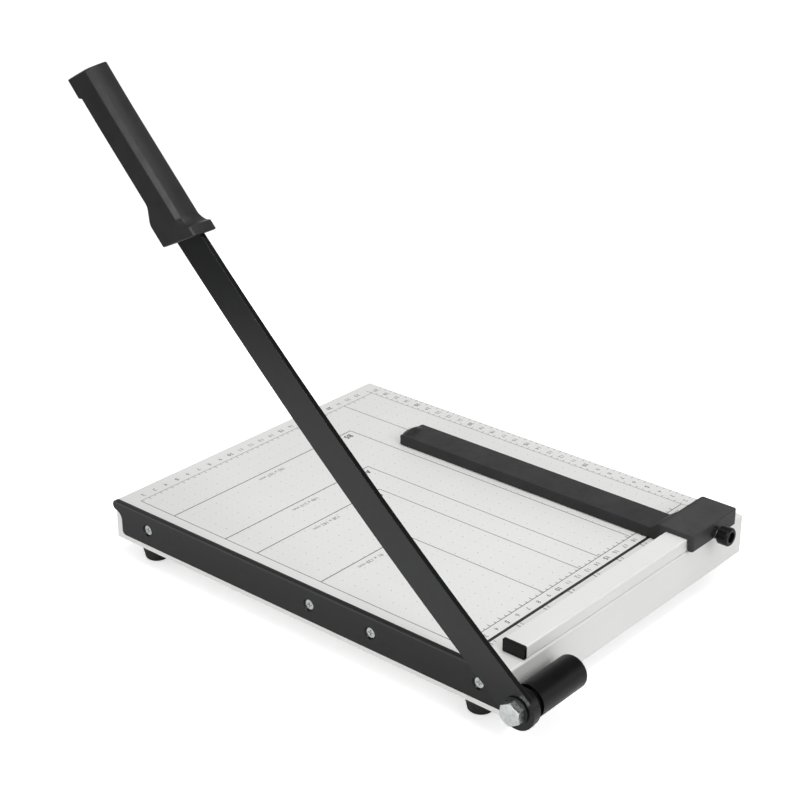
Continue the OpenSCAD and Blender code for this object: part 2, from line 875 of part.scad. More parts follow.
// The grip with its brim; the flared guard keeps outside the fixed blade
module blade_handle() {
  grip_from = under_s(grip_w / 2) - cut;
  grip_to = end_s(-guard_w);
  lip_from = grip_len - lip_len;
  lip_w = grip_w / 2 + lip_out;
  head_floor = handle_in_x + handle_sink + pan_h;
  color(black_plastic)
    difference() {
      union() {
        handle_frame(handle_mid_x)
          translate([grip_from, 0, 0])
            rotate([0, 90, 0])
              linear_extrude(grip_to - grip_from)
                soft_rect(grip_t, grip_w, grip_low_r, grip_top_r);
        handle_frame(handle_mid_x)
          translate([lip_from, -lip_w / 2, 0])
            rotate([0, 90, 0])
              linear_extrude(grip_to - lip_from)
                rotate(180) top_rounded(grip_t, lip_w, grip_low_r);
        handle_frame(handle_out_x) linear_extrude(handle_out_x - blade_in_x) guard_outline();
        handle_frame(handle_out_x) linear_extrude(grip_t) brim_outline();
      }
      handle_frame(handle_out_x + cut) linear_extrude(grip_t + 2 * cut) below_guard_outline();
      handle_frame(handle_out_x + cut) linear_extrude(grip_t + 2 * cut) beyond_end_outline();
      arm_frame(blade_x + hole_gap)
        linear_extrude(blade_t + 2 * hole_gap) {
          blade_slot_outline();
          tang_outline(hole_gap);
        }
      handle_screw_places(head_floor)
        cylinder(d = handle_head_d + 2 * hole_gap, h = handle_sink + pan_h + cut);
      handle_screw_places(head_floor)
        translate([0, 0, -handle_screw_len - seat_gap])
          cylinder(d = handle_screw_d + 2 * seat_gap, h = handle_screw_len + cut);
    }
}

module handle_screws() {
  color(zinc)
    handle_screw_places(handle_in_x + handle_sink)
      pan_screw(handle_screw_d, handle_head_d, handle_screw_len);
}

// Side view of the stop's bar with its ramp, in Y and Z
module bar_side() {
  end = stop_y0 - stop_bulge;
  difference() {
    polygon([
      [end, stop_z0], [saddle_in_y, stop_z0], [saddle_in_y, head_top],
      [head_y0, head_top], [head_y0 - ramp_len, stop_top], [end, stop_top]
    ]);
    translate([end, stop_top])
      difference() {
        square(2 * stop_end_r, center = true);
        translate([stop_end_r, -stop_end_r]) circle(r = stop_end_r);
      }
  }
}

// Plan of the bar, with the bulged free end, and the web into the saddle
module bar_plan() {
  half = stop_w / 2;
  bulge_r = (half * half + stop_bulge * stop_bulge) / (2 * stop_bulge);
  translate([stop_left, stop_y0]) square([stop_w, saddle_in_y - stop_y0]);
  intersection() {
    translate([stop_left, stop_y0 - stop_bulge]) square([stop_w, 2 * stop_bulge]);
    translate([stop_x - half, stop_y0 - stop_bulge + bulge_r]) circle(r = bulge_r, $fn = 360);
  }
}

module web_plan() {
  translate([stop_left - web_r, head_y0 - web_r])
    difference() {
      square([web_r + cut, web_r + cut]);
      circle(r = web_r);
    }
}

// Saddle over the rail, in Y and Z
module saddle_side() {
  polygon([
    [head_y0, stop_z0], [saddle_in_y, stop_z0], [saddle_in_y, saddle_z],
    [lip_y0, saddle_z], [lip_y0, lip_z], [lip_y1, lip_z],
    [lip_y1, head_top], [head_y0, head_top]
  ]);
}

module paper_stop() {
  pocket_len = (head_y0 - stop_y0 - stop_wall) / stop_bays - stop_wall;
  color(black_plastic)
    difference() {
      union() {
        intersection() {
          upright(stop_left, stop_w) bar_side();
          translate([0, 0, stop_z0]) linear_extrude(head_top - stop_z0) bar_plan();
        }
        translate([0, 0, stop_z0]) linear_extrude(stop_h) web_plan();
        intersection() {
          upright(head_left, head_w) saddle_side();
          translate([stop_x - head_w / 2, (head_y0 + lip_y1) / 2, lip_z - cut])
            linear_extrude(head_top)
              soft_rect(head_w, lip_y1 - head_y0, head_edge_r, head_edge_r);
        }
      }
      for (i = [0:stop_bays - 1])
        translate([
          stop_left + stop_wall,
          stop_y0 + stop_wall + i * (pocket_len + stop_wall),
          stop_z0 - cut
        ])
          cube([stop_w - 2 * stop_wall, pocket_len, stop_h - stop_wall + cut]);
      on_clamp(lip_y0 - cut) cylinder(d = pad_d + 2 * slide_gap, h = pocket_y - lip_y0 + cut);
      on_clamp(lip_y0) cylinder(d = insert_d + 2 * seat_gap, h = lip_t + cut);
    }
}

module clamp_insert() {
  color(dark_steel)
    difference() {
      union() {
        on_clamp(pocket_y) cylinder(d = insert_d, h = lip_y1 - pocket_y);
        on_clamp(lip_y1) hexagon(insert_af, insert_flange_t);
      }
      on_clamp(pocket_y - cut)
        cylinder(d = clamp_d + 2 * seat_gap, h = insert_end_y - pocket_y + 2 * cut);
    }
}

module clamp_pad() {
  color(nylon)
    difference() {
      on_clamp(pad_y) cylinder(d = pad_d, h = pad_t);
      on_clamp(pad_y + pad_t - tip_depth) cylinder(d = clamp_d + 2 * hole_gap, h = pad_t);
    }
}

module clamp_screw() {
  tip_y = pad_y + pad_t - tip_depth + face_gap;
  color(zinc) on_clamp(tip_y) cylinder(d = clamp_d, h = knob_y + knob_grip - tip_y);
}

module clamp_knob() {
  r = knob_d / 2;
  color(black_plastic)
    difference() {
      on_clamp(knob_y)
        rotate_extrude()
          polygon([
            [0, 0], [r - knob_edge, 0], [r, knob_edge],
            [r, knob_len - knob_edge], [r - knob_edge, knob_len], [0, knob_len]
          ]);
      on_clamp(knob_y - cut) cylinder(d = clamp_d + 2 * seat_gap, h = knob_grip + face_gap + cut);
      on_clamp(knob_y + knob_len - knob_hollow) cylinder(d = knob_hollow_d, h = knob_hollow + cut);
    }
}

bed_plate();
fixed_blade();
fixed_blade_screws();
fixed_blade_nuts();
fence_rail();
fence_plug_near();
fence_plug_far();
fence_screws();
foot_front_left();
foot_front_right();
foot_back_left();
foot_back_right();
foot_screws();
foot_nuts();
pivot_bolt();
pivot_washer();
friction_washer();
spring_seat();
pivot_spring();
spring_plate();
lock_nut();
spring_cap();
upper_blade();
blade_handle();
handle_screws();
paper_stop();
clamp_insert();
clamp_pad();
clamp_screw();
clamp_knob();
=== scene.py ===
"""Paper cutter with a swinging blade: finishes, bed print, moulded handle and studio.

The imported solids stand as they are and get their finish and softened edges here. The handle is
modelled anew over its solid, the bed gets its printed rulers, paper formats and dot grid, and the
paper stop gets the swelling on its free end.
"""

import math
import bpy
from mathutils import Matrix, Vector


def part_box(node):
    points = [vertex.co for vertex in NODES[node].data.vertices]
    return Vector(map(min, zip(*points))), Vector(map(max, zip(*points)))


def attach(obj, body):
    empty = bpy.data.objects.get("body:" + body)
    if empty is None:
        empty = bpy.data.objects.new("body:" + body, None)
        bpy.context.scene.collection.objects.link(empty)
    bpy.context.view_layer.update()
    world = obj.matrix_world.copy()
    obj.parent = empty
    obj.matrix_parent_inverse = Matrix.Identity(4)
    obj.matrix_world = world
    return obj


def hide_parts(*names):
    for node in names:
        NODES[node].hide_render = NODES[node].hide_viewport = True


bl_info = {
    "name": "Paper Cutter",
    "version": (1, 0, 0),
    "blender": (4, 5, 0),
    "location": "View3D > Sidebar > Cutter",
    "description": "Finishes, bed print, moulded handle and studio of a desk paper cutter",
    "category": "Object",
}

import bmesh
import bpy
from bpy.props import FloatProperty, FloatVectorProperty, PointerProperty
from mathutils import Matrix, Vector

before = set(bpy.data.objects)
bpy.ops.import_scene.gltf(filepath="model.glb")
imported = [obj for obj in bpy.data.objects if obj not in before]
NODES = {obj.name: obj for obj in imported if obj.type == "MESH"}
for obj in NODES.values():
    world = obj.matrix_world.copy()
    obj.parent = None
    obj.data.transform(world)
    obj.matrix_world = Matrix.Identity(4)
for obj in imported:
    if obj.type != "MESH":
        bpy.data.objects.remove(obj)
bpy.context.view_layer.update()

MM = 0.001
INCH = 25.4 * MM

# Edges sharper than the first are softened and shaded crisp, and flatter ones than the second go
SHARP_EDGE = math.radians(38)
FLAT_FACE = math.radians(0.4)

# Standard sheets that the bed is ruled for: name, width and length in millimetres
PAPER_FORMATS = [
    ("A4", 210, 297), ("B5", 182, 257), ("A5", 148, 210), ("B6", 128, 182), ("B7", 91, 128)]


def linear(code):
    """Linear red, green and blue of an sRGB hex colour such as #E4E4E2."""
    channels = [int(code[i:i + 2], 16) / 255 for i in (1, 3, 5)]
    return [c / 12.92 if c <= 0.04045 else ((c + 0.055) / 1.055) ** 2.4 for c in channels]


def colour_property(name, description, code):
    """A colour that a user may change, with its default as an sRGB hex value."""
    return FloatVectorProperty(
        name=name, description=description, subtype="COLOR", size=3, min=0, max=1,
        default=linear(code))


def length_property(name, description, millimetres):
    """A length that a user may change, with its default in millimetres."""
    return FloatProperty(name=name, description=description, unit="LENGTH", default=millimetres * MM)


def angle_property(name, description, degrees):
    """An angle that a user may change, with its default in degrees."""
    return FloatProperty(
        name=name, description=description, unit="ROTATION", default=math.radians(degrees))


def power_property(name, description, watts):
    """The power of a lamp that a user may change, with its default in watts."""
    return FloatProperty(name=name, description=description, unit="POWER", default=watts)


class CutterFinish(bpy.types.PropertyGroup):
    """Colours of the finishes."""
    bed: colour_property("Bed", "Powder coat of the bed and the fence rail", "#E6E6E4")
    blade: colour_property("Blades", "Stoved enamel of both blades", "#0F1010")
    handle: colour_property("Handle", "Moulded ABS of the handle", "#2B2B2B")
    plastic: colour_property("Plastic", "Moulded ABS of the stop", "#313131")
    cap: colour_property("Cap", "Polished ABS of the cap, its seat, the knob and plugs", "#0C0C0D")
    zinc: colour_property("Zinc", "Zinc plating of the screws, nuts and pivot bolt", "#C9CDCB")
    oxide: colour_property("Black oxide", "Steel of the pivot washer and the clamp insert", "#2B2E2D")
    spring: colour_property("Spring", "Drawn wire of the pivot spring", "#8C8E90")
    nylon: colour_property("Nylon", "Nylon of the friction washer and the clamp pad", "#DAD6CA")
    rubber: colour_property("Rubber", "Moulded rubber of the feet", "#161616")
    ink: colour_property("Ink", "Ink of the formats' names and the heavy line", "#1C1C1D")
    fine_ink: colour_property("Fine ink", "Ink of the format lines and the numbers", "#5C5D5E")
    faint_ink: colour_property("Faint ink", "Ink of the dots and the outer rulers' lines", "#8E8F90")


class CutterEdges(bpy.types.PropertyGroup):
    """How far the edges of the solids are softened."""
    sheet: length_property("Sheet", "Softening of the bed's and the rail's edges", 0.35)
    blade: length_property("Blades", "Softening of the blades' edges", 0.3)
    plastic: length_property("Plastic", "Softening of moulded edges", 0.6)
    small: length_property("Small parts", "Softening of screws, nuts, washers and feet", 0.15)


class CutterPrint(bpy.types.PropertyGroup):
    """Sizes of the rulers, format lines and dots on the bed."""
    ink: length_property("Ink", "Thickness of the printed ink", 0.02)
    zero_over: length_property("Zero over", "From the fixed blade's face out to the ruler's zero", 1.5)
    zero_back: length_property("Zero back", "From the rail's face to the zero of the long ruler", 2.0)
    step: length_property("Ruler step", "Distance between the numbers of a ruler", 10.0)
    digit: length_property("Digits", "Height of the rulers' digits", 3.4)
    label: length_property("Labels", "Height of the paper formats' names", 4.6)
    caption: length_property("Captions", "Height of the paper formats' sizes", 3.0)
    fine: length_property("Fine line", "Width of ruler and format lines", 0.55)
    heavy: length_property("Heavy line", "Width of the heavy line before the rail", 2.2)
    dot: length_property("Dot", "Width of a dot of the grid", 0.6)


class CutterHandle(bpy.types.PropertyGroup):
    """Sizes of the moulded handle, along the grip, to its spine side and across."""
    length: length_property("Length", "Length of the grip along its middle", 117.9)
    width: length_property("Width", "Width of the grip, spine side to cutting side", 18.7)
    crown: length_property("Crown", "Crown of the grip's spine side", 0.4)
    spine_chamfer: length_property("Spine chamfer", "Chamfer of the grip's spine edges", 3.0)
    low_round: length_property("Low rounding", "Rounding of the grip's cutting side edges", 0.9)
    brim_out: length_property("Brim", "How far the brim stands out on the spine side", 4.5)
    brim_thick: length_property("Brim thickness", "Thickness of the brim along the grip", 7.0)
    brim_chamfer: length_property("Brim chamfer", "Chamfer of the brim's corners", 1.4)
    brim_fillet: length_property("Brim fillet", "Length of the hollow between brim and grip", 6.0)
    guard_out: length_property("Guard", "How far the guard stands out on the cutting side", 6.6)
    guard_flat: length_property("Guard flat", "Length of the guard before its ramp", 15.8)
    guard_ramp: length_property("Guard ramp", "Length of the guard's ramp down to the grip", 11.0)
    lip_out: length_property("End lip", "How far the lip at the free end stands out", 2.3)
    lip_long: length_property("End lip length", "Length of the lip at the free end", 14.5)
    bend: length_property("Bend", "How far the free end bends to the spine side", 0.8)
    bend_long: length_property("Bend length", "Length of the bent stretch at the free end", 46.0)
    end_round: length_property("End rounding", "Rounding of the rims at both ends", 0.8)
    screw_inset: length_property("Screw inset", "From the guard to the first screw", 30.0)
    screw_hole: length_property("Screw recess", "Diameter of the recess of a screw", 7.3)
    guard_slant: angle_property("Guard slant", "Slant of the guard's underside", 17.8)
    end_slant: angle_property("End slant", "Slant of the free end towards the spine side", 15.6)
    end_skew: angle_property("End skew", "Slant of the free end across the grip", 6.5)


class CutterStage(bpy.types.PropertyGroup):
    """Camera, lamps and floor."""
    eye: FloatVectorProperty(
        name="Camera", description="Place of the camera", subtype="XYZ", unit="LENGTH",
        default=(0.8175, 0.6825, 0.5979))
    azimuth: angle_property("Azimuth", "Angle of the view round the cutter", 130.79)
    elevation: angle_property("Elevation", "Angle of the view above the desk", 24.42)
    lens: FloatProperty(name="Lens", description="Focal length", unit="CAMERA", default=83.16)
    floor: colour_property("Floor", "Colour of the paper floor", "#F4F4F4")
    overhead: power_property("Overhead lamp", "Power of the lamp above", 5.3)
    fill: power_property("Fill lamp", "Power of the lamp behind", 10.0)
    glint: power_property("Glint lamp", "Power of the lamp for the gleam on edges", 7.0)
    side: power_property("Side lamp", "Power of the low lamp beside the blade", 5.0)
    ambient: FloatProperty(name="Ambient", description="Level of the light all around", default=0.41)


def put(tree, kind, inputs=None, **settings):
    """Add a node of that kind with its settings; an input is a value or the socket that feeds it."""
    node = tree.nodes.new(kind)
    for name, value in settings.items():
        setattr(node, name, value)
    for key, value in (inputs or {}).items():
        if isinstance(value, bpy.types.NodeSocket):
            tree.links.new(value, node.inputs[key])
        else:
            node.inputs[key].default_value = value
    return node


def tint(colour, amount):
    """The colour made lighter or darker, with alpha."""
    return [min(1, channel * amount) for channel in colour] + [1]


def grained(name, colour, cloud, gloss, skin, stretch=(1, 1, 1), **constants):
    """A material whose colour, roughness and height each follow a noise, made once.

    cloud holds the grain in millimetres and the darkest and the lightest share of the colour,
    gloss the grain and the lowest and the highest roughness, skin the grain, its depth and strength.
    """
    if name in bpy.data.materials:
        return bpy.data.materials[name]
    material = bpy.data.materials.new(name)
    material.use_nodes = True
    tree = material.node_tree
    tree.nodes.clear()
    place = put(tree, "ShaderNodeTexCoord").outputs["Object"]
    drawn = put(tree, "ShaderNodeMapping", {"Vector": place, "Scale": stretch}).outputs[0]
    waves = []
    for grain in (cloud[0], gloss[0], skin[0]):
        fineness = {"Vector": drawn, "Scale": 1 / (grain * MM), "Detail": 2.0}
        noise = put(tree, "ShaderNodeTexNoise", fineness)
        # Noise keeps near its middle, so its middle part is spread over the whole range
        spread = {"Value": noise.outputs[0], "From Min": 0.3, "From Max": 0.7}
        waves.append(put(tree, "ShaderNodeMapRange", spread).outputs[0])
    paint = put(
        tree, "ShaderNodeMix", {0: waves[0], 6: tint(colour, cloud[1]), 7: tint(colour, cloud[2])},
        data_type="RGBA")
    rough = put(
        tree, "ShaderNodeMapRange", {"Value": waves[1], "To Min": gloss[1], "To Max": gloss[2]})
    bump = put(
        tree, "ShaderNodeBump", {"Height": waves[2], "Distance": skin[1] * MM, "Strength": skin[2]})
    sockets = {key.replace("_", " "): value for key, value in constants.items()}
    sockets["Base Color"] = paint.outputs[2]
    sockets["Roughness"] = rough.outputs[0]
    sockets["Normal"] = bump.outputs[0]
    shader = put(tree, "ShaderNodeBsdfPrincipled", sockets)
    put(tree, "ShaderNodeOutputMaterial", {"Surface": shader.outputs[0]})
    return material


def opened(material):
    """The node tree of a grained material, its shader and the socket of its colour."""
    tree = material.node_tree
    shader = tree.nodes["Principled BSDF"]
    return tree, shader, shader.inputs["Base Color"].links[0].from_socket


def powder_coated_steel(colour):
    # Powder sprayed on folded sheet and baked: satin white, with the faint orange peel of the melt
    return grained(
        "powder_coated_steel", colour, cloud=(60, 0.985, 1.01), gloss=(9, 0.42, 0.52),
        skin=(0.9, 0.03, 0.3), IOR=1.5)


def enamelled_steel(colour):
    # Stoved black enamel over rolled steel: a satin black that shows the floor, faintly grained
    return grained(
        "enamelled_steel", colour, cloud=(0.8, 0.85, 1.2), gloss=(14, 0.24, 0.32),
        skin=(0.8, 0.015, 0.3), stretch=(1, 0.15, 0.15), IOR=1.5, Specular_IOR_Level=0.31)


def enamelled_cutting_edge(colour, highlight_z):
    # A painted highlight: a pale line in the colour, a little below the top edge, stands in for the
    # gleam on the blade's top edge
    highlight_half = 0.16 * MM
    painted_light_gain = 12.0
    material = enamelled_steel(colour).copy()
    material.name = "enamelled_cutting_edge"
    tree, shader, paint = opened(material)
    place = put(tree, "ShaderNodeTexCoord").outputs["Object"]
    height = put(tree, "ShaderNodeSeparateXYZ", {"Vector": place}).outputs["Z"]
    # Painted highlight: the thin band around that height gets the paler colour
    highlight_band = put(tree, "ShaderNodeMath", {0: height, 1: highlight_z, 2: highlight_half}, operation="COMPARE")
    highlighted = put(
        tree, "ShaderNodeMix", {0: highlight_band.outputs[0], 6: paint, 7: tint(colour, painted_light_gain)},
        data_type="RGBA")
    tree.links.new(highlighted.outputs[2], shader.inputs["Base Color"])
    return material


def spark_grained_abs(colour):
    # ABS from a spark-eroded mould: a fine even grain that breaks up the light
    # The eroded grain is near 0.1 mm and is drawn at 0.5 mm so that it shows
    return grained(
        "spark_grained_abs", colour, cloud=(25, 0.88, 1.12), gloss=(6, 0.36, 0.46),
        skin=(0.5, 0.02, 0.3), IOR=1.53, Specular_IOR_Level=0.1)


def rubbed_abs(colour, saddle_y):
    # The stop's ABS with painted light: its colour grows paler from the saddle on, so the head looks
    # more brightly lit
    lightening_over = 3 * MM
    painted_light_gain = 1.58
    material = spark_grained_abs(colour).copy()
    material.name = "rubbed_abs"
    tree, shader, paint = opened(material)
    place = put(tree, "ShaderNodeTexCoord").outputs["Object"]
    along = put(tree, "ShaderNodeSeparateXYZ", {"Vector": place}).outputs["Y"]
    # Painted light: the colour rises over the saddle's first millimetres and stays raised on the head
    painted_light = put(
        tree, "ShaderNodeMapRange",
        {"Value": along, "From Min": saddle_y, "From Max": saddle_y + lightening_over,
         "To Min": 1.0, "To Max": painted_light_gain}).outputs[0]
    lightened_paint = put(tree, "ShaderNodeVectorMath", {0: paint, "Scale": painted_light}, operation="SCALE")
    tree.links.new(lightened_paint.outputs[0], shader.inputs["Base Color"])
    return material


def handled_abs(colour):
    # The same ABS, rubbed smooth by many hands: greyer, with a silky light on its ridges
    return grained(
        "handled_abs", colour, cloud=(30, 0.9, 1.1), gloss=(9, 0.32, 0.42), skin=(0.7, 0.015, 0.25),
        IOR=1.53, Specular_IOR_Level=0.2)


def polished_abs(colour):
    # ABS from a polished mould: the same black with soft, clear highlights
    return grained(
        "polished_abs", colour, cloud=(25, 0.9, 1.1), gloss=(6, 0.28, 0.36), skin=(0.6, 0.01, 0.2),
        IOR=1.53, Specular_IOR_Level=0.2)


def zinc_plated_steel(colour):
    # Bright zinc over cold-headed steel: a pale metal, slightly clouded, with faint tool marks
    return grained(
        "zinc_plated_steel", colour, cloud=(2.5, 0.86, 1.05), gloss=(1.2, 0.24, 0.4),
        skin=(0.35, 0.01, 0.4), Metallic=1.0)


def black_oxide_steel(colour):
    # Steel blackened in a hot salt bath and oiled: a dark, slightly greenish sheen
    return grained(
        "black_oxide_steel", colour, cloud=(3, 0.7, 1.2), gloss=(1.5, 0.35, 0.5),
        skin=(0.4, 0.01, 0.4), Metallic=0.7)


def drawn_spring_wire(colour):
    # Hard-drawn wire: a grey metal with fine die lines
    return grained(
        "drawn_spring_wire", colour, cloud=(0.5, 0.8, 1.1), gloss=(1.5, 0.25, 0.4),
        skin=(0.5, 0.01, 0.4), Metallic=1.0)


def turned_nylon(colour):
    # Natural nylon, turned from rod: milky, waxy and dull
    return grained(
        "turned_nylon", colour, cloud=(3, 0.93, 1.03), gloss=(1, 0.45, 0.58), skin=(0.4, 0.01, 0.3),
        IOR=1.53)


def moulded_rubber(colour):
    # Black rubber, compression moulded: matt, with a bloom that greys it in patches
    return grained(
        "moulded_rubber", colour, cloud=(5, 0.8, 1.5), gloss=(2, 0.68, 0.85), skin=(0.5, 0.03, 0.5),
        IOR=1.52)


def screen_print_ink(name, colour):
    # Ink pulled through a screen: dull, with small thin spots where the mesh held it back
    return grained(
        name, colour, cloud=(0.6, 0.8, 1.6), gloss=(1.5, 0.5, 0.62), skin=(0.6, 0.005, 0.2), IOR=1.48)


def paper_floor(colour):
    # Studio paper, matt and slightly fibrous, with a painted glow beside the blade that only
    # reflections see, a painted light for the enamel
    # Further out its colour is painted dark, a painted shade seen in reflections, while the camera
    # sees plain white; distances are in metres
    dusk_from, dusk_to = 0.52, 0.64
    dusk_paper = (0.12, 0.12, 0.12, 1)
    pale_from, pale_to = 0.2, 0.5
    pale_near = 0.58
    pool_x, pool_half = 0.33, 0.15
    pool_shine = 0.55
    material = grained(
        "studio_paper", colour, cloud=(2, 0.99, 1.0), gloss=(2, 0.85, 0.95), skin=(0.6, 0.02, 0.2),
        Emission_Color=(1, 1, 1, 1))
    tree, shader, paper = opened(material)
    place = put(tree, "ShaderNodeTexCoord").outputs["Object"]
    reach = put(tree, "ShaderNodeVectorMath", {0: place}, operation="LENGTH").outputs["Value"]
    # Painted shade: the paper's colour darkens towards the far floor
    dusk = put(
        tree, "ShaderNodeMapRange", {"Value": reach, "From Min": dusk_from, "From Max": dusk_to},
        interpolation_type="SMOOTHSTEP").outputs[0]
    dimmed = put(tree, "ShaderNodeMix", {0: dusk, 6: paper, 7: dusk_paper}, data_type="RGBA")
    tree.links.new(dimmed.outputs[2], shader.inputs["Base Color"])
    paling = put(
        tree, "ShaderNodeMapRange",
        {"Value": reach, "From Min": pale_from, "From Max": pale_to,
         "To Min": pale_near, "To Max": 1.0},
        interpolation_type="SMOOTHSTEP").outputs[0]
    rays = put(tree, "ShaderNodeLightPath").outputs
    seen = put(
        tree, "ShaderNodeMath", {0: paling, 1: rays["Is Camera Ray"]}, operation="MULTIPLY").outputs[0]
    mirrored = put(
        tree, "ShaderNodeMath", {0: rays["Is Glossy Ray"], 1: rays["Is Transmission Ray"]},
        operation="MAXIMUM").outputs[0]
    # Painted glow: a strip beside the blade emits for glossy rays alone, a painted reflection of light
    beside = put(tree, "ShaderNodeSeparateXYZ", {"Vector": place}).outputs["X"]
    pool = put(
        tree, "ShaderNodeMath", {0: beside, 1: pool_x, 2: pool_half}, operation="COMPARE").outputs[0]
    shine = put(tree, "ShaderNodeMath", {0: pool, 1: pool_shine}, operation="MULTIPLY").outputs[0]
    glow = put(
        tree, "ShaderNodeMath", {0: mirrored, 1: shine, 2: seen}, operation="MULTIPLY_ADD").outputs[0]
    tree.links.new(glow, shader.inputs["Emission Strength"])
    return material


def geometry_group(name):
    """An empty geometry node group, and the socket of the solid that it gets."""
    group = bpy.data.node_groups.new(name, "GeometryNodeTree")
    group.interface.new_socket("Geometry", in_out="INPUT", socket_type="NodeSocketGeometry")
    group.interface.new_socket("Geometry", in_out="OUTPUT", socket_type="NodeSocketGeometry")
    return group, put(group, "NodeGroupInput").outputs[0]


def solid_cleaner():
    """Geometry nodes that join a solid's split corners, so that its edges can be softened."""
    if "solid_cleaner" in bpy.data.node_groups:
        return bpy.data.node_groups["solid_cleaner"]
    same_corner = 0.002 * MM
    group, solid = geometry_group("solid_cleaner")
    bare = put(group, "GeometryNodeRemoveAttribute", {"Geometry": solid, "Name": "custom_normal"})
    joined = put(
        group, "GeometryNodeMergeByDistance", {"Geometry": bare.outputs[0], "Distance": same_corner})
    put(group, "NodeGroupOutput", {0: joined.outputs[0]})
    return group


def edge_shader():
    """Geometry nodes that shade faces smooth and keep sharp edges crisp."""
    if "edge_shader" in bpy.data.node_groups:
        return bpy.data.node_groups["edge_shader"]
    group, solid = geometry_group("edge_shader")
    smooth = put(group, "GeometryNodeSetShadeSmooth", {0: solid, "Shade Smooth": True}, domain="FACE")
    angle = put(group, "GeometryNodeInputMeshEdgeAngle").outputs[0]
    gentle = put(
        group, "FunctionNodeCompare", {0: angle, 1: SHARP_EDGE}, data_type="FLOAT",
        operation="LESS_THAN").outputs[0]
    edged = put(
        group, "GeometryNodeSetShadeSmooth", {0: smooth.outputs[0], "Shade Smooth": gentle},
        domain="EDGE")
    put(group, "NodeGroupOutput", {0: edged.outputs[0]})
    return group


def screw_driver(centre_x, share):
    """Geometry nodes that draw screws in towards a plane across them, so that the heads sit deeper."""
    group, solid = geometry_group("screw_driver")
    place = put(group, "GeometryNodeInputPosition").outputs[0]
    at = put(group, "ShaderNodeSeparateXYZ", {"Vector": place}).outputs
    centre = put(group, "ShaderNodeCombineXYZ", {"X": centre_x, "Y": at["Y"], "Z": at["Z"]}).outputs[0]
    driven = put(
        group, "GeometryNodeScaleElements", {"Geometry": solid, "Scale": share, "Center": centre})
    put(group, "NodeGroupOutput", {0: driven.outputs[0]})
    return group


def shade_by_angle(obj):
    """Smooth shading that keeps sharp edges, with flat faces kept flat beside rounded ones."""
    obj.modifiers.new("edge_shading", "NODES").node_group = edge_shader()
    weighted = obj.modifiers.new("flat_faces", "WEIGHTED_NORMAL")
    weighted.keep_sharp = True


def dress(node, material, softening, segments=3):
    """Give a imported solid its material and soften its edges, by modifiers alone."""
    solid = NODES[node]
    solid.material_slots[0].material = material
    solid.modifiers.new("join_corners", "NODES").node_group = solid_cleaner()
    flatten = solid.modifiers.new("flat_faces_whole", "DECIMATE")
    flatten.decimate_type = "DISSOLVE"
    flatten.angle_limit = FLAT_FACE
    bevel = solid.modifiers.new("softened_edges", "BEVEL")
    bevel.width = softening
    bevel.segments = segments
    bevel.limit_method = "ANGLE"
    bevel.angle_limit = SHARP_EDGE
    bevel.use_clamp_overlap = False
    bevel.miter_outer = "MITER_ARC"
    shade_by_angle(solid)


def new_piece(name, bm, material, body):
    """A new piece from a bmesh, which rides on a body and takes the given material."""
    mesh = bpy.data.meshes.new(name)
    bm.to_mesh(mesh)
    bm.free()
    mesh.materials.append(material)
    piece = bpy.data.objects.new(name, mesh)
    bpy.context.scene.collection.objects.link(piece)
    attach(piece, body)
    return piece


def loft(bm, rings):
    """Join each ring of points to the next one with faces."""
    for first, second in zip(rings, rings[1:]):
        for i, corner in enumerate(first):
            j = (i + 1) % len(first)
            bm.faces.new((corner, first[j], second[j], second[i]))


class CUTTER_OT_bed(bpy.types.Operator):
    """Powder-coat the bed and the fence rail"""
    bl_idname = "cutter.bed"
    bl_label = "Bed and rail"

    def execute(self, context):
        coat = powder_coated_steel(context.scene.cutter_finish.bed)
        edges = context.scene.cutter_edges
        dress("bed_plate", coat, edges.sheet)
        dress("fence_rail", coat, edges.sheet)
        return {"FINISHED"}


class BedPrint:
    """Closed ink shapes that lie on the bed, gathered into one mesh."""

    # Share of the font's size that its digits and capitals are high
    capital = 0.73

    def __init__(self, surface_z, ink):
        self.bm = bmesh.new()
        self.middle = surface_z + ink / 2
        self.ink = ink
        self.words = {}

    def bar(self, x0, x1, y0, y1):
        """A filled rectangle."""
        size = Matrix.Diagonal((abs(x1 - x0), abs(y1 - y0), self.ink, 1))
        place = Matrix.Translation(((x0 + x1) / 2, (y0 + y1) / 2, self.middle))
        bmesh.ops.create_cube(self.bm, size=1, matrix=place @ size)

    def line_across(self, y, x0, x1, width):
        """A line along X."""
        self.bar(x0, x1, y - width / 2, y + width / 2)

    def line_along(self, x, y0, y1, width):
        """A line along Y."""
        self.bar(x - width / 2, x + width / 2, y0, y1)

    def word(self, text, x, y, height, weight=0.0):
        """Characters centred on a place; weight thickens their strokes."""
        key = (text, height, weight)
        if key not in self.words:
            curve = bpy.data.curves.new("word", "FONT")
            curve.body = text
            curve.size = height / self.capital
            curve.align_x = "CENTER"
            curve.align_y = "CENTER"
            curve.resolution_u = 2
            curve.offset = weight
            curve.extrude = self.ink / 2
            holder = bpy.data.objects.new("word", curve)
            bpy.context.scene.collection.objects.link(holder)
            graph = bpy.context.evaluated_depsgraph_get()
            self.words[key] = bpy.data.meshes.new_from_object(holder.evaluated_get(graph))
            bpy.data.objects.remove(holder)
            bpy.data.curves.remove(curve)
        before = len(self.bm.verts)
        self.bm.from_mesh(self.words[key])
        self.bm.verts.ensure_lookup_table()
        bmesh.ops.translate(self.bm, vec=(x, y, self.middle), verts=self.bm.verts[before:])

    def finish(self, name, material):
        """Turn what was gathered into a piece on the base."""
        bmesh.ops.remove_doubles(self.bm, verts=self.bm.verts, dist=0.0001 * MM)
        for mesh in self.words.values():
            bpy.data.meshes.remove(mesh)
        return new_piece(name, self.bm, material, "base")


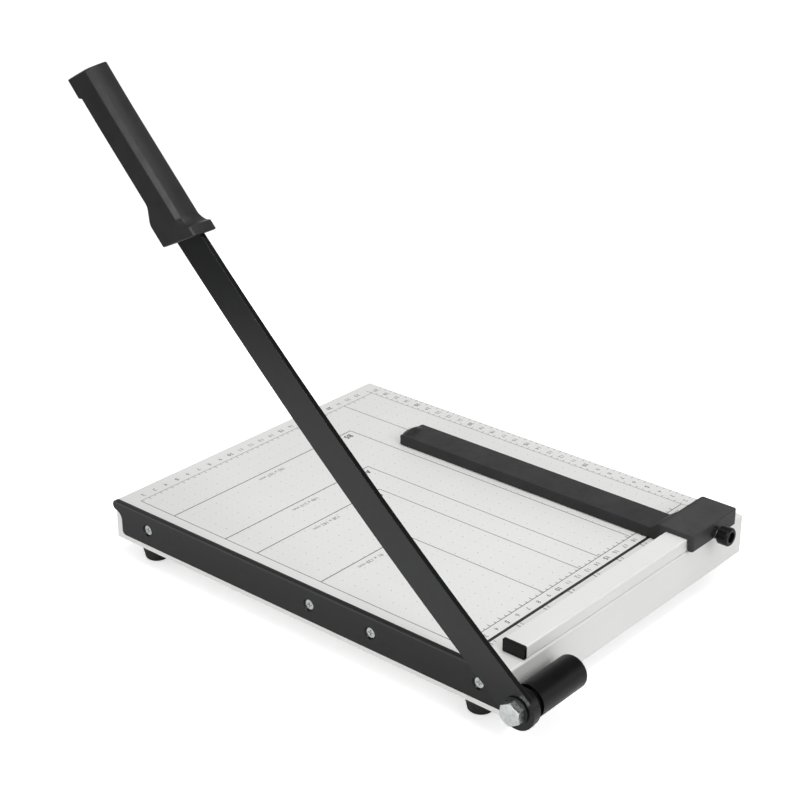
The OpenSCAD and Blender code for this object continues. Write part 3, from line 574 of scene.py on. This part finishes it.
class CUTTER_OT_bed_print(bpy.types.Operator):
    """Print the rulers, the paper formats and the dot grid on the bed"""
    bl_idname = "cutter.bed_print"
    bl_label = "Bed print"

    # Places of the rows and lines, from the bed's edges and from the rail's face
    margin = 8.8 * MM
    heavy_from_rail = 12.0 * MM
    row_from_rail = 17.0 * MM
    edge_from_rail = 21.1 * MM
    inch_from_rail = 9.3 * MM
    far_ticks = 2.0 * MM
    far_ruler = 8.2 * MM
    far_line = 13.9 * MM
    front_row = 9.4 * MM
    front_line = 14.7 * MM

    # What every fifth number and the formats' names gain in stroke
    bold = 0.12 * MM

    def execute(self, context):
        size = context.scene.cutter_print
        finish = context.scene.cutter_finish
        low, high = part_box("bed_plate")
        rail_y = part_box("fence_rail")[0].y
        self.black = BedPrint(high.z, size.ink)
        self.grey = BedPrint(high.z, size.ink)
        self.faint = BedPrint(high.z, size.ink)
        self.zero_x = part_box("fixed_blade")[1].x + size.zero_over
        self.zero_y = rail_y - size.zero_back
        self.near_x = high.x - self.margin
        self.far_x = low.x + self.far_line
        self.back_y = rail_y - self.edge_from_rail
        self.front_y = low.y + self.front_line
        self.cross_rulers(size, low, rail_y)
        self.long_ruler(size, low)
        self.formats(size)
        self.grid(size)
        self.black.finish("bed_print_bold", screen_print_ink("black_print_ink", finish.ink))
        self.grey.finish("bed_print_fine", screen_print_ink("grey_print_ink", finish.fine_ink))
        self.faint.finish("bed_print_faint", screen_print_ink("faint_print_ink", finish.faint_ink))
        return {"FINISHED"}

    def cross_rulers(self, size, low, rail_y):
        """The rulers along the rail and along the front edge, counted from the blade."""
        heavy_y = rail_y - self.heavy_from_rail
        self.black.line_across(heavy_y, low.x + self.far_ruler, self.near_x, size.heavy)
        self.grey.line_across(self.back_y, self.far_x, self.near_x, size.fine)
        self.faint.line_across(self.front_y, self.far_x, self.near_x, size.fine)
        for number in range(2, 24):
            x = self.zero_x - number * size.step
            weight = self.bold if number % 5 == 0 else 0
            self.grey.word(str(number), x, rail_y - self.row_from_rail, size.digit, weight)
            self.grey.word(str(number), x, low.y + self.front_row, size.digit, weight)
            for half in (0, 0.5):
                tick = x + half * size.step
                reach = size.digit * (0.5 if half else 0.8)
                self.grey.line_along(tick, self.back_y, self.back_y - reach, size.fine)
                self.faint.line_along(tick, self.front_y, self.front_y + reach, size.fine)
        inch_y = rail_y - self.inch_from_rail
        for number in range(1, 9):
            x = self.zero_x - number * INCH
            self.grey.word(str(number), x - size.digit, inch_y, 0.7 * size.digit)
            self.grey.line_along(x, inch_y - size.digit / 2, inch_y + size.digit / 2, size.fine)

    def long_ruler(self, size, low):
        """The ruler along the bed's far edge, counted from the rail."""
        middle = low.x + self.far_ruler
        outer = low.x + self.far_ticks
        self.faint.line_along(self.far_x, self.zero_y - size.step, low.y + self.front_row, size.fine)
        for number in range(1, 30):
            y = self.zero_y - number * size.step
            self.grey.word(str(number), middle, y, size.digit, self.bold if number % 5 == 0 else 0)
            for half in (0, 0.5):
                tick = y + half * size.step
                reach = 0.7 * size.digit if half else size.digit / 2
                self.faint.line_across(tick, outer, outer + reach, size.fine)
                self.faint.line_across(tick, self.far_x - reach, self.far_x, size.fine)

    def formats(self, size):
        """The corner lines of the standard sheets, with their names and sizes."""
        self.grey.line_along(self.near_x, self.back_y, self.front_y, size.fine)
        for name, width, length in PAPER_FORMATS:
            x = self.zero_x - width * MM
            y = max(self.zero_y - length * MM, self.front_y)
            self.grey.line_along(x, self.back_y, y, size.fine)
            if y == self.front_y:
                continue
            self.grey.line_across(y, x, self.near_x, 1.3 * size.fine)
            self.black.word(name, x + 1.7 * size.label, y + 1.1 * size.label, size.label, self.bold)
            caption = "%d x %d mm" % (width, length)
            self.grey.word(caption, (x + self.near_x) / 2, y + 1.8 * size.caption, size.caption)

    def grid(self, size):
        """Dots at every centimetre, with finer ones half way along each line."""
        columns = int((self.near_x - self.far_x) / size.step * 2)
        rows = int((self.back_y - self.front_y) / size.step * 2)
        for column in range(1, columns):
            for row in range(1, rows):
                if column % 2 and row % 2:
                    continue
                x = self.near_x - column * size.step / 2
                y = self.back_y - row * size.step / 2
                half = size.dot / 2 if column % 2 == row % 2 else size.dot / 4
                self.faint.bar(x - half, x + half, y - half, y + half)


class CUTTER_OT_blades(bpy.types.Operator):
    """Enamel both blades"""
    bl_idname = "cutter.blades"
    bl_label = "Blades"

    # How far below the fixed blade's top its painted highlight line lies
    land = 1.6 * MM

    def execute(self, context):
        colour = context.scene.cutter_finish.blade
        edges = context.scene.cutter_edges
        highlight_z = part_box("fixed_blade")[1].z - self.land
        dress("fixed_blade", enamelled_cutting_edge(colour, highlight_z), edges.blade)
        dress("upper_blade", enamelled_steel(colour), edges.blade)
        return {"FINISHED"}


def softened_ramp(x, radius):
    """Zero before nought and x after it, with a round corner of that half length."""
    if x <= -radius:
        return 0.0
    if x >= radius:
        return x
    return (x + radius) ** 2 / (4 * radius)


def arc(centre, radius, start, end, steps=6):
    """Points of an arc in the section's plane, angles in degrees."""
    points = []
    for i in range(steps + 1):
        angle = math.radians(start + (end - start) * i / steps)
        points.append((centre[0] + radius * math.cos(angle), centre[1] + radius * math.sin(angle)))
    return points


class CUTTER_OT_handle(bpy.types.Operator):
    """Mould the handle over the end of the arm"""
    bl_idname = "cutter.handle"
    bl_label = "Handle"

    guard_soft = 2.5 * MM
    brim_round = 1.0 * MM
    wall_round = 0.8 * MM
    lip_soft = 0.5 * MM
    dome = 0.6 * MM
    dome_share = 0.6
    least_round = 0.1 * MM
    least_step = 0.05 * MM
    chamfer_soft = 1.2 * MM
    recess_deep = 2.8 * MM
    weld = 0.01 * MM
    sliver = 0.005 * MM

    def execute(self, context):
        self.size = context.scene.cutter_handle
        finish = context.scene.cutter_finish
        self.find_axis()
        plastic = handled_abs(finish.handle)
        handle = new_piece("handle", self.shell(), plastic, "blade_arm")
        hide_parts("blade_handle")
        self.cut_out(handle)
        shade_by_angle(handle)
        screws = zinc_plated_steel(finish.zinc)
        dress("handle_screws", screws, context.scene.cutter_edges.small)
        return {"FINISHED"}

    def find_axis(self):
        """The grip's axis from its two screws, which sit on it."""
        points = [vertex.co for vertex in NODES["handle_screws"].data.vertices]
        middle = sum(p.y for p in points) / len(points)
        near = self.centre([p for p in points if p.y > middle])
        far = self.centre([p for p in points if p.y <= middle])
        low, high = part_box("blade_handle")
        self.along = (far - near).normalized()
        self.spine = Vector((0, self.along.z, -self.along.y))
        self.near_screw = near
        self.far_screw = far
        self.half = (high.x - low.x) / 2
        self.origin = near - self.along * self.size.screw_inset
        self.origin.x = (low.x + high.x) / 2
        self.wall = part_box("upper_blade")[0].x - self.origin.x

    @staticmethod
    def centre(points):
        """Middle of the box round some points, in the plane of the swing."""
        y = [p.y for p in points]
        z = [p.z for p in points]
        return Vector((0, (min(y) + max(y)) / 2, (min(z) + max(z)) / 2))

    def top(self, t):
        """Height of the spine side at a place along the grip: brim, hollow fillet, grip."""
        size = self.size
        half = size.width / 2
        rim = self.brim_round
        peak = half + size.brim_out
        if t < size.brim_thick:
            from_edge = min(t, size.brim_thick - t, rim)
            return peak - rim + math.sqrt(rim ** 2 - (rim - from_edge) ** 2)
        left = (size.brim_thick + size.brim_fillet - t) / size.brim_fillet
        if left <= 0:
            return half
        return half + (size.brim_out - rim) * (1 - math.sqrt(1 - left ** 2))

    def guard(self, t):
        """How far the guard stands out on the cutting side."""
        size = self.size
        slope = size.guard_out / size.guard_ramp
        start = softened_ramp(t - size.guard_flat, self.guard_soft)
        end = softened_ramp(t - size.guard_flat - size.guard_ramp, self.guard_soft)
        return size.guard_out - slope * (start - end)

    def lip(self, t):
        """How far the lip at the free end stands out."""
        size = self.size
        soft = self.lip_soft
        past = t - (size.length - size.lip_long)
        rise = softened_ramp(past, soft) - softened_ramp(past - 2 * soft, soft)
        return size.lip_out * rise / (2 * soft)

    def chamfer(self, t):
        """Chamfer of the spine edges: small on the brim, full on the grip."""
        size = self.size
        share = min(max((t - size.brim_thick) / size.brim_fillet, 0), 1)
        return size.brim_chamfer + (size.spine_chamfer - size.brim_chamfer) * share

    def inset(self, t):
        """How far the outline is drawn in by the rounding of the rims at both ends."""
        rim = self.size.end_round
        from_end = min(t, self.size.length - t, rim)
        return rim - math.sqrt(rim ** 2 - (rim - from_end) ** 2)

    def section(self, t):
        """Outline across the grip, round from the spine's middle, as points across and upwards."""
        size = self.size
        inset = self.inset(t)
        half = self.half - inset
        high = self.top(t) - inset
        low = -size.width / 2 - self.lip(t) + inset
        guard_low = low - self.guard(t)
        wall = self.wall + min(inset, self.guard(t) / 2)
        low_r = max(size.low_round - inset, self.least_round)
        wall_r = min(self.wall_round, (low - guard_low) / 2)
        chamfer = self.chamfer(t)
        edge_r = self.chamfer_soft
        reach = edge_r * math.tan(math.radians(45 / 2))
        brow = (half - chamfer - reach, high - size.crown - edge_r)
        cheek = (half - edge_r, high - size.crown - chamfer - reach)
        flank = brow[0] / 2
        outline = [(0.0, high), (flank, high - size.crown / 4)]
        outline += arc(brow, edge_r, 85, 45, steps=3)
        outline += arc(cheek, edge_r, 45, 0, steps=3)
        outline += arc((half - low_r, guard_low + low_r), low_r, 0, -90)
        outline += arc((wall + wall_r, guard_low + wall_r), wall_r, -90, -180, steps=3)
        outline += arc((wall - wall_r, low - wall_r), wall_r, 0, 90, steps=3)
        outline += arc((-half + low_r, low + low_r), low_r, -90, -180)
        outline += arc((-cheek[0], cheek[1]), edge_r, 180, 135, steps=3)
        outline += arc((-brow[0], brow[1]), edge_r, 135, 95, steps=3)
        outline.append((-flank, high - size.crown / 4))
        return outline

    def placed(self, t, across, up):
        """Point of the skin: both ends slant, and the free end bends to the spine side."""
        size = self.size
        share = t / size.length
        lean = math.tan(size.guard_slant) * (1 - share) + math.tan(size.end_slant) * share
        skew = math.tan(size.end_skew) * max(0, 2 * share - 1)
        bent = size.bend * max(0, (t - size.length + size.bend_long) / size.bend_long) ** 2
        at = self.origin + self.along * (t - up * lean - across * skew) + self.spine * (up + bent)
        return at + Vector((across, 0, 0))

    def places(self):
        """Places of the sections along the grip, closer where the outline changes."""
        size = self.size
        rim = size.end_round
        brim = size.brim_thick
        ramp_end = size.guard_flat + size.guard_ramp
        lip = size.length - size.lip_long
        marks = [rim * (1 - math.cos(math.radians(a))) for a in range(0, 91, 18)]
        marks += [brim - self.brim_round * math.cos(math.radians(a)) for a in range(0, 91, 18)]
        marks += [brim + size.brim_fillet * (1 - math.cos(math.radians(a))) for a in range(10, 91, 10)]
        marks += [size.guard_flat + self.guard_soft * i / 4 for i in range(-4, 5)]
        marks += [ramp_end + self.guard_soft * i / 4 for i in range(-4, 5)]
        marks += [ramp_end + (lip - ramp_end) * i / 8 for i in range(1, 8)]
        marks += [lip + self.lip_soft * i / 2 for i in range(-2, 7)]
        marks += [size.length - rim * (1 - math.sin(math.radians(a))) for a in range(0, 91, 18)]
        tidy = []
        for mark in sorted(marks):
            if not tidy or mark - tidy[-1] > self.least_step:
                tidy.append(mark)
        return tidy

    def shell(self):
        """The closed skin of the handle, lofted through its sections."""
        bm = bmesh.new()
        rings = []
        for t in self.places():
            rings.append([bm.verts.new(self.placed(t, across, up)) for across, up in self.section(t)])
        loft(bm, rings)
        bm.faces.new(rings[0])
        last = [vertex.co.copy() for vertex in rings[-1]]
        end = sum(last, Vector()) / len(last)
        rise = self.along * self.dome
        crown = [bm.verts.new(end.lerp(corner, self.dome_share) + rise) for corner in last]
        loft(bm, [rings[-1], crown])
        bm.faces.new(crown)
        bmesh.ops.remove_doubles(bm, verts=bm.verts, dist=self.weld)
        bmesh.ops.dissolve_degenerate(bm, edges=bm.edges, dist=self.sliver)
        bmesh.ops.recalc_face_normals(bm, faces=bm.faces)
        return bm

    def cut_out(self, handle):
        """Cut the slot with the blade itself, and the recesses of the two screws."""
        bm = bmesh.new()
        turn = Matrix.Rotation(math.radians(90), 4, "Y")
        face = self.origin.x - self.half
        for screw in (self.near_screw, self.far_screw):
            bmesh.ops.create_cone(
                bm, cap_ends=True, segments=48, radius1=self.size.screw_hole / 2,
                radius2=self.size.screw_hole / 2, depth=2 * self.recess_deep,
                matrix=Matrix.Translation((face, screw.y, screw.z)) @ turn)
        mesh = bpy.data.meshes.new("recess_cutter")
        bm.to_mesh(mesh)
        bm.free()
        cutter = bpy.data.objects.new("recess_cutter", mesh)
        bpy.context.scene.collection.objects.link(cutter)
        for name, tool in (("slot", NODES["upper_blade"]), ("recesses", cutter)):
            cut = handle.modifiers.new(name, "BOOLEAN")
            cut.operation = "DIFFERENCE"
            cut.solver = "EXACT"
            cut.object = tool
        graph = bpy.context.evaluated_depsgraph_get()
        solid = bpy.data.meshes.new_from_object(handle.evaluated_get(graph))
        if len(solid.polygons) < len(handle.data.polygons) / 2:
            raise RuntimeError("the handle's cuts took too much away")
        handle.modifiers.clear()
        handle.data = solid
        bpy.data.objects.remove(cutter)


class CUTTER_OT_fence(bpy.types.Operator):
    """Mould the two end plugs of the fence rail"""
    bl_idname = "cutter.fence"
    bl_label = "Rail plugs"

    def execute(self, context):
        plastic = polished_abs(context.scene.cutter_finish.cap)
        for node in ("fence_plug_near", "fence_plug_far"):
            dress(node, plastic, context.scene.cutter_edges.plastic / 2)
        return {"FINISHED"}


class CUTTER_OT_paper_stop(bpy.types.Operator):
    """Mould the sliding stop and finish its clamp"""
    bl_idname = "cutter.paper_stop"
    bl_label = "Paper stop and clamp"

    swell_from_side = 10.8 * MM
    swell_from_end = 4.6 * MM
    swell_wide = 20.0 * MM
    swell_long = 9.0 * MM
    swell_high = 2.4 * MM
    swell_sunk = 0.1 * MM
    swell_rings = 12
    swell_sides = 48
    saddle_before_rail = 5.0 * MM

    def execute(self, context):
        finish = context.scene.cutter_finish
        edges = context.scene.cutter_edges
        plastic = spark_grained_abs(finish.plastic)
        saddle_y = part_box("fence_rail")[0].y - self.saddle_before_rail
        # The stop's head gets painted light in its colour
        dress("paper_stop", rubbed_abs(finish.plastic, saddle_y), edges.plastic)
        dress("clamp_knob", polished_abs(finish.cap), edges.plastic / 2)
        self.swell_end(plastic)
        dress("clamp_insert", black_oxide_steel(finish.oxide), edges.small)
        dress("clamp_pad", turned_nylon(finish.nylon), edges.small)
        dress("clamp_screw", zinc_plated_steel(finish.zinc), edges.small)
        return {"FINISHED"}

    def swell_end(self, plastic):
        """The low swelling on the bar's free end: a smooth rise over an oval, sunk in a little."""
        low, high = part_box("paper_stop")
        middle = Vector((high.x - self.swell_from_side, low.y + self.swell_from_end, self.bar_top()))
        bm = bmesh.new()
        rings = []
        for i in range(self.swell_rings):
            reach = 1 - i / self.swell_rings
            rise = self.swell_high * (1 + math.cos(math.pi * reach)) / 2 - self.swell_sunk
            rings.append(self.oval(bm, middle, reach, rise))
        top = bm.verts.new(middle + Vector((0, 0, self.swell_high - self.swell_sunk)))
        loft(bm, rings)
        for i in range(self.swell_sides):
            bm.faces.new((rings[-1][i], rings[-1][(i + 1) % self.swell_sides], top))
        for face in bm.faces:
            face.smooth = True
        bm.faces.new(reversed(rings[0]))
        new_piece("stop_end_swelling", bm, plastic, "paper_stop")

    def oval(self, bm, middle, reach, rise):
        """One ring of the swelling: a share of its full oval, at a height over the bar."""
        ring = []
        for i in range(self.swell_sides):
            angle = 2 * math.pi * i / self.swell_sides
            across = reach * self.swell_wide / 2 * math.cos(angle)
            along = reach * self.swell_long / 2 * math.sin(angle)
            ring.append(bm.verts.new(middle + Vector((across, along, rise))))
        return ring

    @staticmethod
    def bar_top():
        """Height of the bar's top face, found near its free end."""
        low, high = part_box("paper_stop")
        near_end = low.y + (high.y - low.y) / 4
        return max(v.co.z for v in NODES["paper_stop"].data.vertices if v.co.y < near_end)


class CUTTER_OT_pivot(bpy.types.Operator):
    """Finish the pivot: bolt, washers, spring, seat and cap"""
    bl_idname = "cutter.pivot"
    bl_label = "Pivot"

    def execute(self, context):
        finish = context.scene.cutter_finish
        edges = context.scene.cutter_edges
        zinc = zinc_plated_steel(finish.zinc)
        for node in ("pivot_bolt", "lock_nut", "spring_plate"):
            dress(node, zinc, edges.small)
        dress("pivot_washer", black_oxide_steel(finish.oxide), edges.small)
        dress("friction_washer", turned_nylon(finish.nylon), edges.small / 3)
        dress("pivot_spring", drawn_spring_wire(finish.spring), edges.small / 3)
        polished = polished_abs(finish.cap)
        dress("spring_cap", polished, edges.small)
        dress("spring_seat", polished, edges.small)
        return {"FINISHED"}


class CUTTER_OT_fasteners(bpy.types.Operator):
    """Zinc-plate the screws and nuts"""
    bl_idname = "cutter.fasteners"
    bl_label = "Screws and nuts"

    plated = ("fixed_blade_screws", "fixed_blade_nuts", "fence_screws", "foot_screws", "foot_nuts")

    # The fixed blade's screws shrink in by this share, towards a plane this far behind their heads
    driven_share = 0.86
    driven_depth = 4.5 * MM

    def execute(self, context):
        zinc = zinc_plated_steel(context.scene.cutter_finish.zinc)
        for node in self.plated:
            dress(node, zinc, context.scene.cutter_edges.small)
        centre_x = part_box("fixed_blade_screws")[1].x - self.driven_depth
        drive = NODES["fixed_blade_screws"].modifiers.new("driven_home", "NODES")
        drive.node_group = screw_driver(centre_x, self.driven_share)
        return {"FINISHED"}


class CUTTER_OT_feet(bpy.types.Operator):
    """Mould the four rubber feet"""
    bl_idname = "cutter.feet"
    bl_label = "Feet"

    def execute(self, context):
        rubber = moulded_rubber(context.scene.cutter_finish.rubber)
        for end in ("front", "back"):
            for side in ("left", "right"):
                dress("foot_%s_%s" % (end, side), rubber, context.scene.cutter_edges.small)
        return {"FINISHED"}


class CUTTER_OT_stage(bpy.types.Operator):
    """Set up the floor, the world, the lamps and the camera"""
    bl_idname = "cutter.stage"
    bl_label = "Stage"

    floor_half = 6.0
    film_width = 36.0

    # Place, target and size of each soft box, in metres
    soft_boxes = {
        "overhead": ((0.0, 0.1, 1.1), (0, 0, 0), 0.6),
        "fill": ((0.3, 1.5, 1.0), (0, 0, 0.1), 0.9),
        "glint": ((1.06, 0.43, 1.02), (0.1, -0.1, 0.28), 0.3),
        "side": ((1.3, 0.0, 0.2), (0, 0, 0.05), 0.5),
    }

    # Where the ceiling starts and ends to dim in reflections, as heights of a direction, and how far
    ceiling_from = 0.3
    ceiling_to = 0.62
    ceiling_dim = 0.08

    def execute(self, context):
        scene = context.scene
        stage = scene.cutter_stage
        for name in ("Cube", "Light", "Camera"):
            if name in bpy.data.objects:
                bpy.data.objects.remove(bpy.data.objects[name])
        self.lay_floor(scene, stage)
        self.light_world(scene, stage)
        lamps = {}
        for name, (place, target, size) in self.soft_boxes.items():
            lamps[name] = self.hang_lamp(scene, name, place, target, size, getattr(stage, name))
        lamps["glint"].visible_diffuse = False
        lamps["side"].visible_glossy = False
        self.set_camera(scene, stage)
        scene.view_settings.view_transform = "Standard"
        return {"FINISHED"}

    def lay_floor(self, scene, stage):
        """A sheet of studio paper under the feet."""
        half = self.floor_half
        mesh = bpy.data.meshes.new("studio_floor")
        corners = [(-half, -half, 0), (half, -half, 0), (half, half, 0), (-half, half, 0)]
        mesh.from_pydata(corners, [], [(0, 1, 2, 3)])
        mesh.materials.append(paper_floor(stage.floor))
        floor = bpy.data.objects.new("studio_floor", mesh)
        scene.collection.objects.link(floor)

    def light_world(self, scene, stage):
        """White for the camera, plain ambient light, and a dim ceiling in reflections."""
        world = bpy.data.worlds.new("studio")
        scene.world = world
        world.use_nodes = True
        tree = world.node_tree
        tree.nodes.clear()
        direction = put(tree, "ShaderNodeTexCoord").outputs["Generated"]
        height = put(tree, "ShaderNodeSeparateXYZ", {"Vector": direction}).outputs["Z"]
        ceiling = put(
            tree, "ShaderNodeMapRange",
            {"Value": height, "From Min": self.ceiling_from, "From Max": self.ceiling_to,
             "To Min": 1.0, "To Max": self.ceiling_dim},
            interpolation_type="SMOOTHSTEP").outputs[0]
        rays = put(tree, "ShaderNodeLightPath").outputs
        mirrored = put(
            tree, "ShaderNodeMath", {0: rays["Is Glossy Ray"], 1: rays["Is Transmission Ray"]},
            operation="MAXIMUM").outputs[0]
        lit = put(
            tree, "ShaderNodeMix", {0: mirrored, 2: stage.ambient, 3: ceiling}, data_type="FLOAT")
        level = put(
            tree, "ShaderNodeMix", {0: rays["Is Camera Ray"], 2: lit.outputs[0], 3: 1.0},
            data_type="FLOAT")
        sky = put(
            tree, "ShaderNodeBackground", {"Color": (1, 1, 1, 1), "Strength": level.outputs[0]})
        put(tree, "ShaderNodeOutputWorld", {"Surface": sky.outputs[0]})

    def hang_lamp(self, scene, name, place, target, size, power):
        """A square soft box at a place, turned to a target."""
        lamp = bpy.data.lights.new(name + "_lamp", "AREA")
        lamp.size = size
        lamp.energy = power
        holder = bpy.data.objects.new(name + "_lamp", lamp)
        holder.location = place
        holder.rotation_euler = (Vector(target) - Vector(place)).to_track_quat("-Z", "Y").to_euler()
        holder.visible_camera = False
        scene.collection.objects.link(holder)
        return holder

    def set_camera(self, scene, stage):
        """The camera at the photograph's place and angle."""
        camera = bpy.data.cameras.new("camera")
        camera.lens = stage.lens
        camera.sensor_width = self.film_width
        holder = bpy.data.objects.new("camera", camera)
        turn = Matrix.Rotation(stage.azimuth, 4, "Z")
        raise_up = Matrix.Rotation(math.radians(90) - stage.elevation, 4, "X")
        holder.matrix_world = Matrix.Translation(stage.eye) @ turn @ raise_up
        scene.collection.objects.link(holder)
        scene.camera = holder


PIECE_OPERATORS = (
    CUTTER_OT_bed, CUTTER_OT_bed_print, CUTTER_OT_blades, CUTTER_OT_handle, CUTTER_OT_fence,
    CUTTER_OT_paper_stop, CUTTER_OT_pivot, CUTTER_OT_fasteners, CUTTER_OT_feet, CUTTER_OT_stage,
)

SETTINGS = {
    "cutter_finish": CutterFinish,
    "cutter_edges": CutterEdges,
    "cutter_print": CutterPrint,
    "cutter_handle": CutterHandle,
    "cutter_stage": CutterStage,
}


class CUTTER_PT_panel(bpy.types.Panel):
    """Lists the cutter's pieces and their settings"""
    bl_idname = "CUTTER_PT_panel"
    bl_label = "Paper cutter"
    bl_space_type = "VIEW_3D"
    bl_region_type = "UI"
    bl_category = "Cutter"

    def draw(self, context):
        for operator in PIECE_OPERATORS:
            self.layout.operator(operator.bl_idname)
        for name, group in SETTINGS.items():
            box = self.layout.box()
            for field in group.__annotations__:
                box.prop(getattr(context.scene, name), field)


def register():
    for group in SETTINGS.values():
        bpy.utils.register_class(group)
    for operator in PIECE_OPERATORS:
        bpy.utils.register_class(operator)
    bpy.utils.register_class(CUTTER_PT_panel)
    for name, group in SETTINGS.items():
        setattr(bpy.types.Scene, name, PointerProperty(type=group))


def unregister():
    for name in SETTINGS:
        delattr(bpy.types.Scene, name)
    bpy.utils.unregister_class(CUTTER_PT_panel)
    for operator in reversed(PIECE_OPERATORS):
        bpy.utils.unregister_class(operator)
    for group in SETTINGS.values():
        bpy.utils.unregister_class(group)


def main():
    register()
    bpy.ops.cutter.bed()
    bpy.ops.cutter.bed_print()
    bpy.ops.cutter.blades()
    bpy.ops.cutter.handle()
    bpy.ops.cutter.fence()
    bpy.ops.cutter.paper_stop()
    bpy.ops.cutter.pivot()
    bpy.ops.cutter.fasteners()
    bpy.ops.cutter.feet()
    bpy.ops.cutter.stage()
    bpy.context.view_layer.update()


if __name__ == "__main__":
    main()
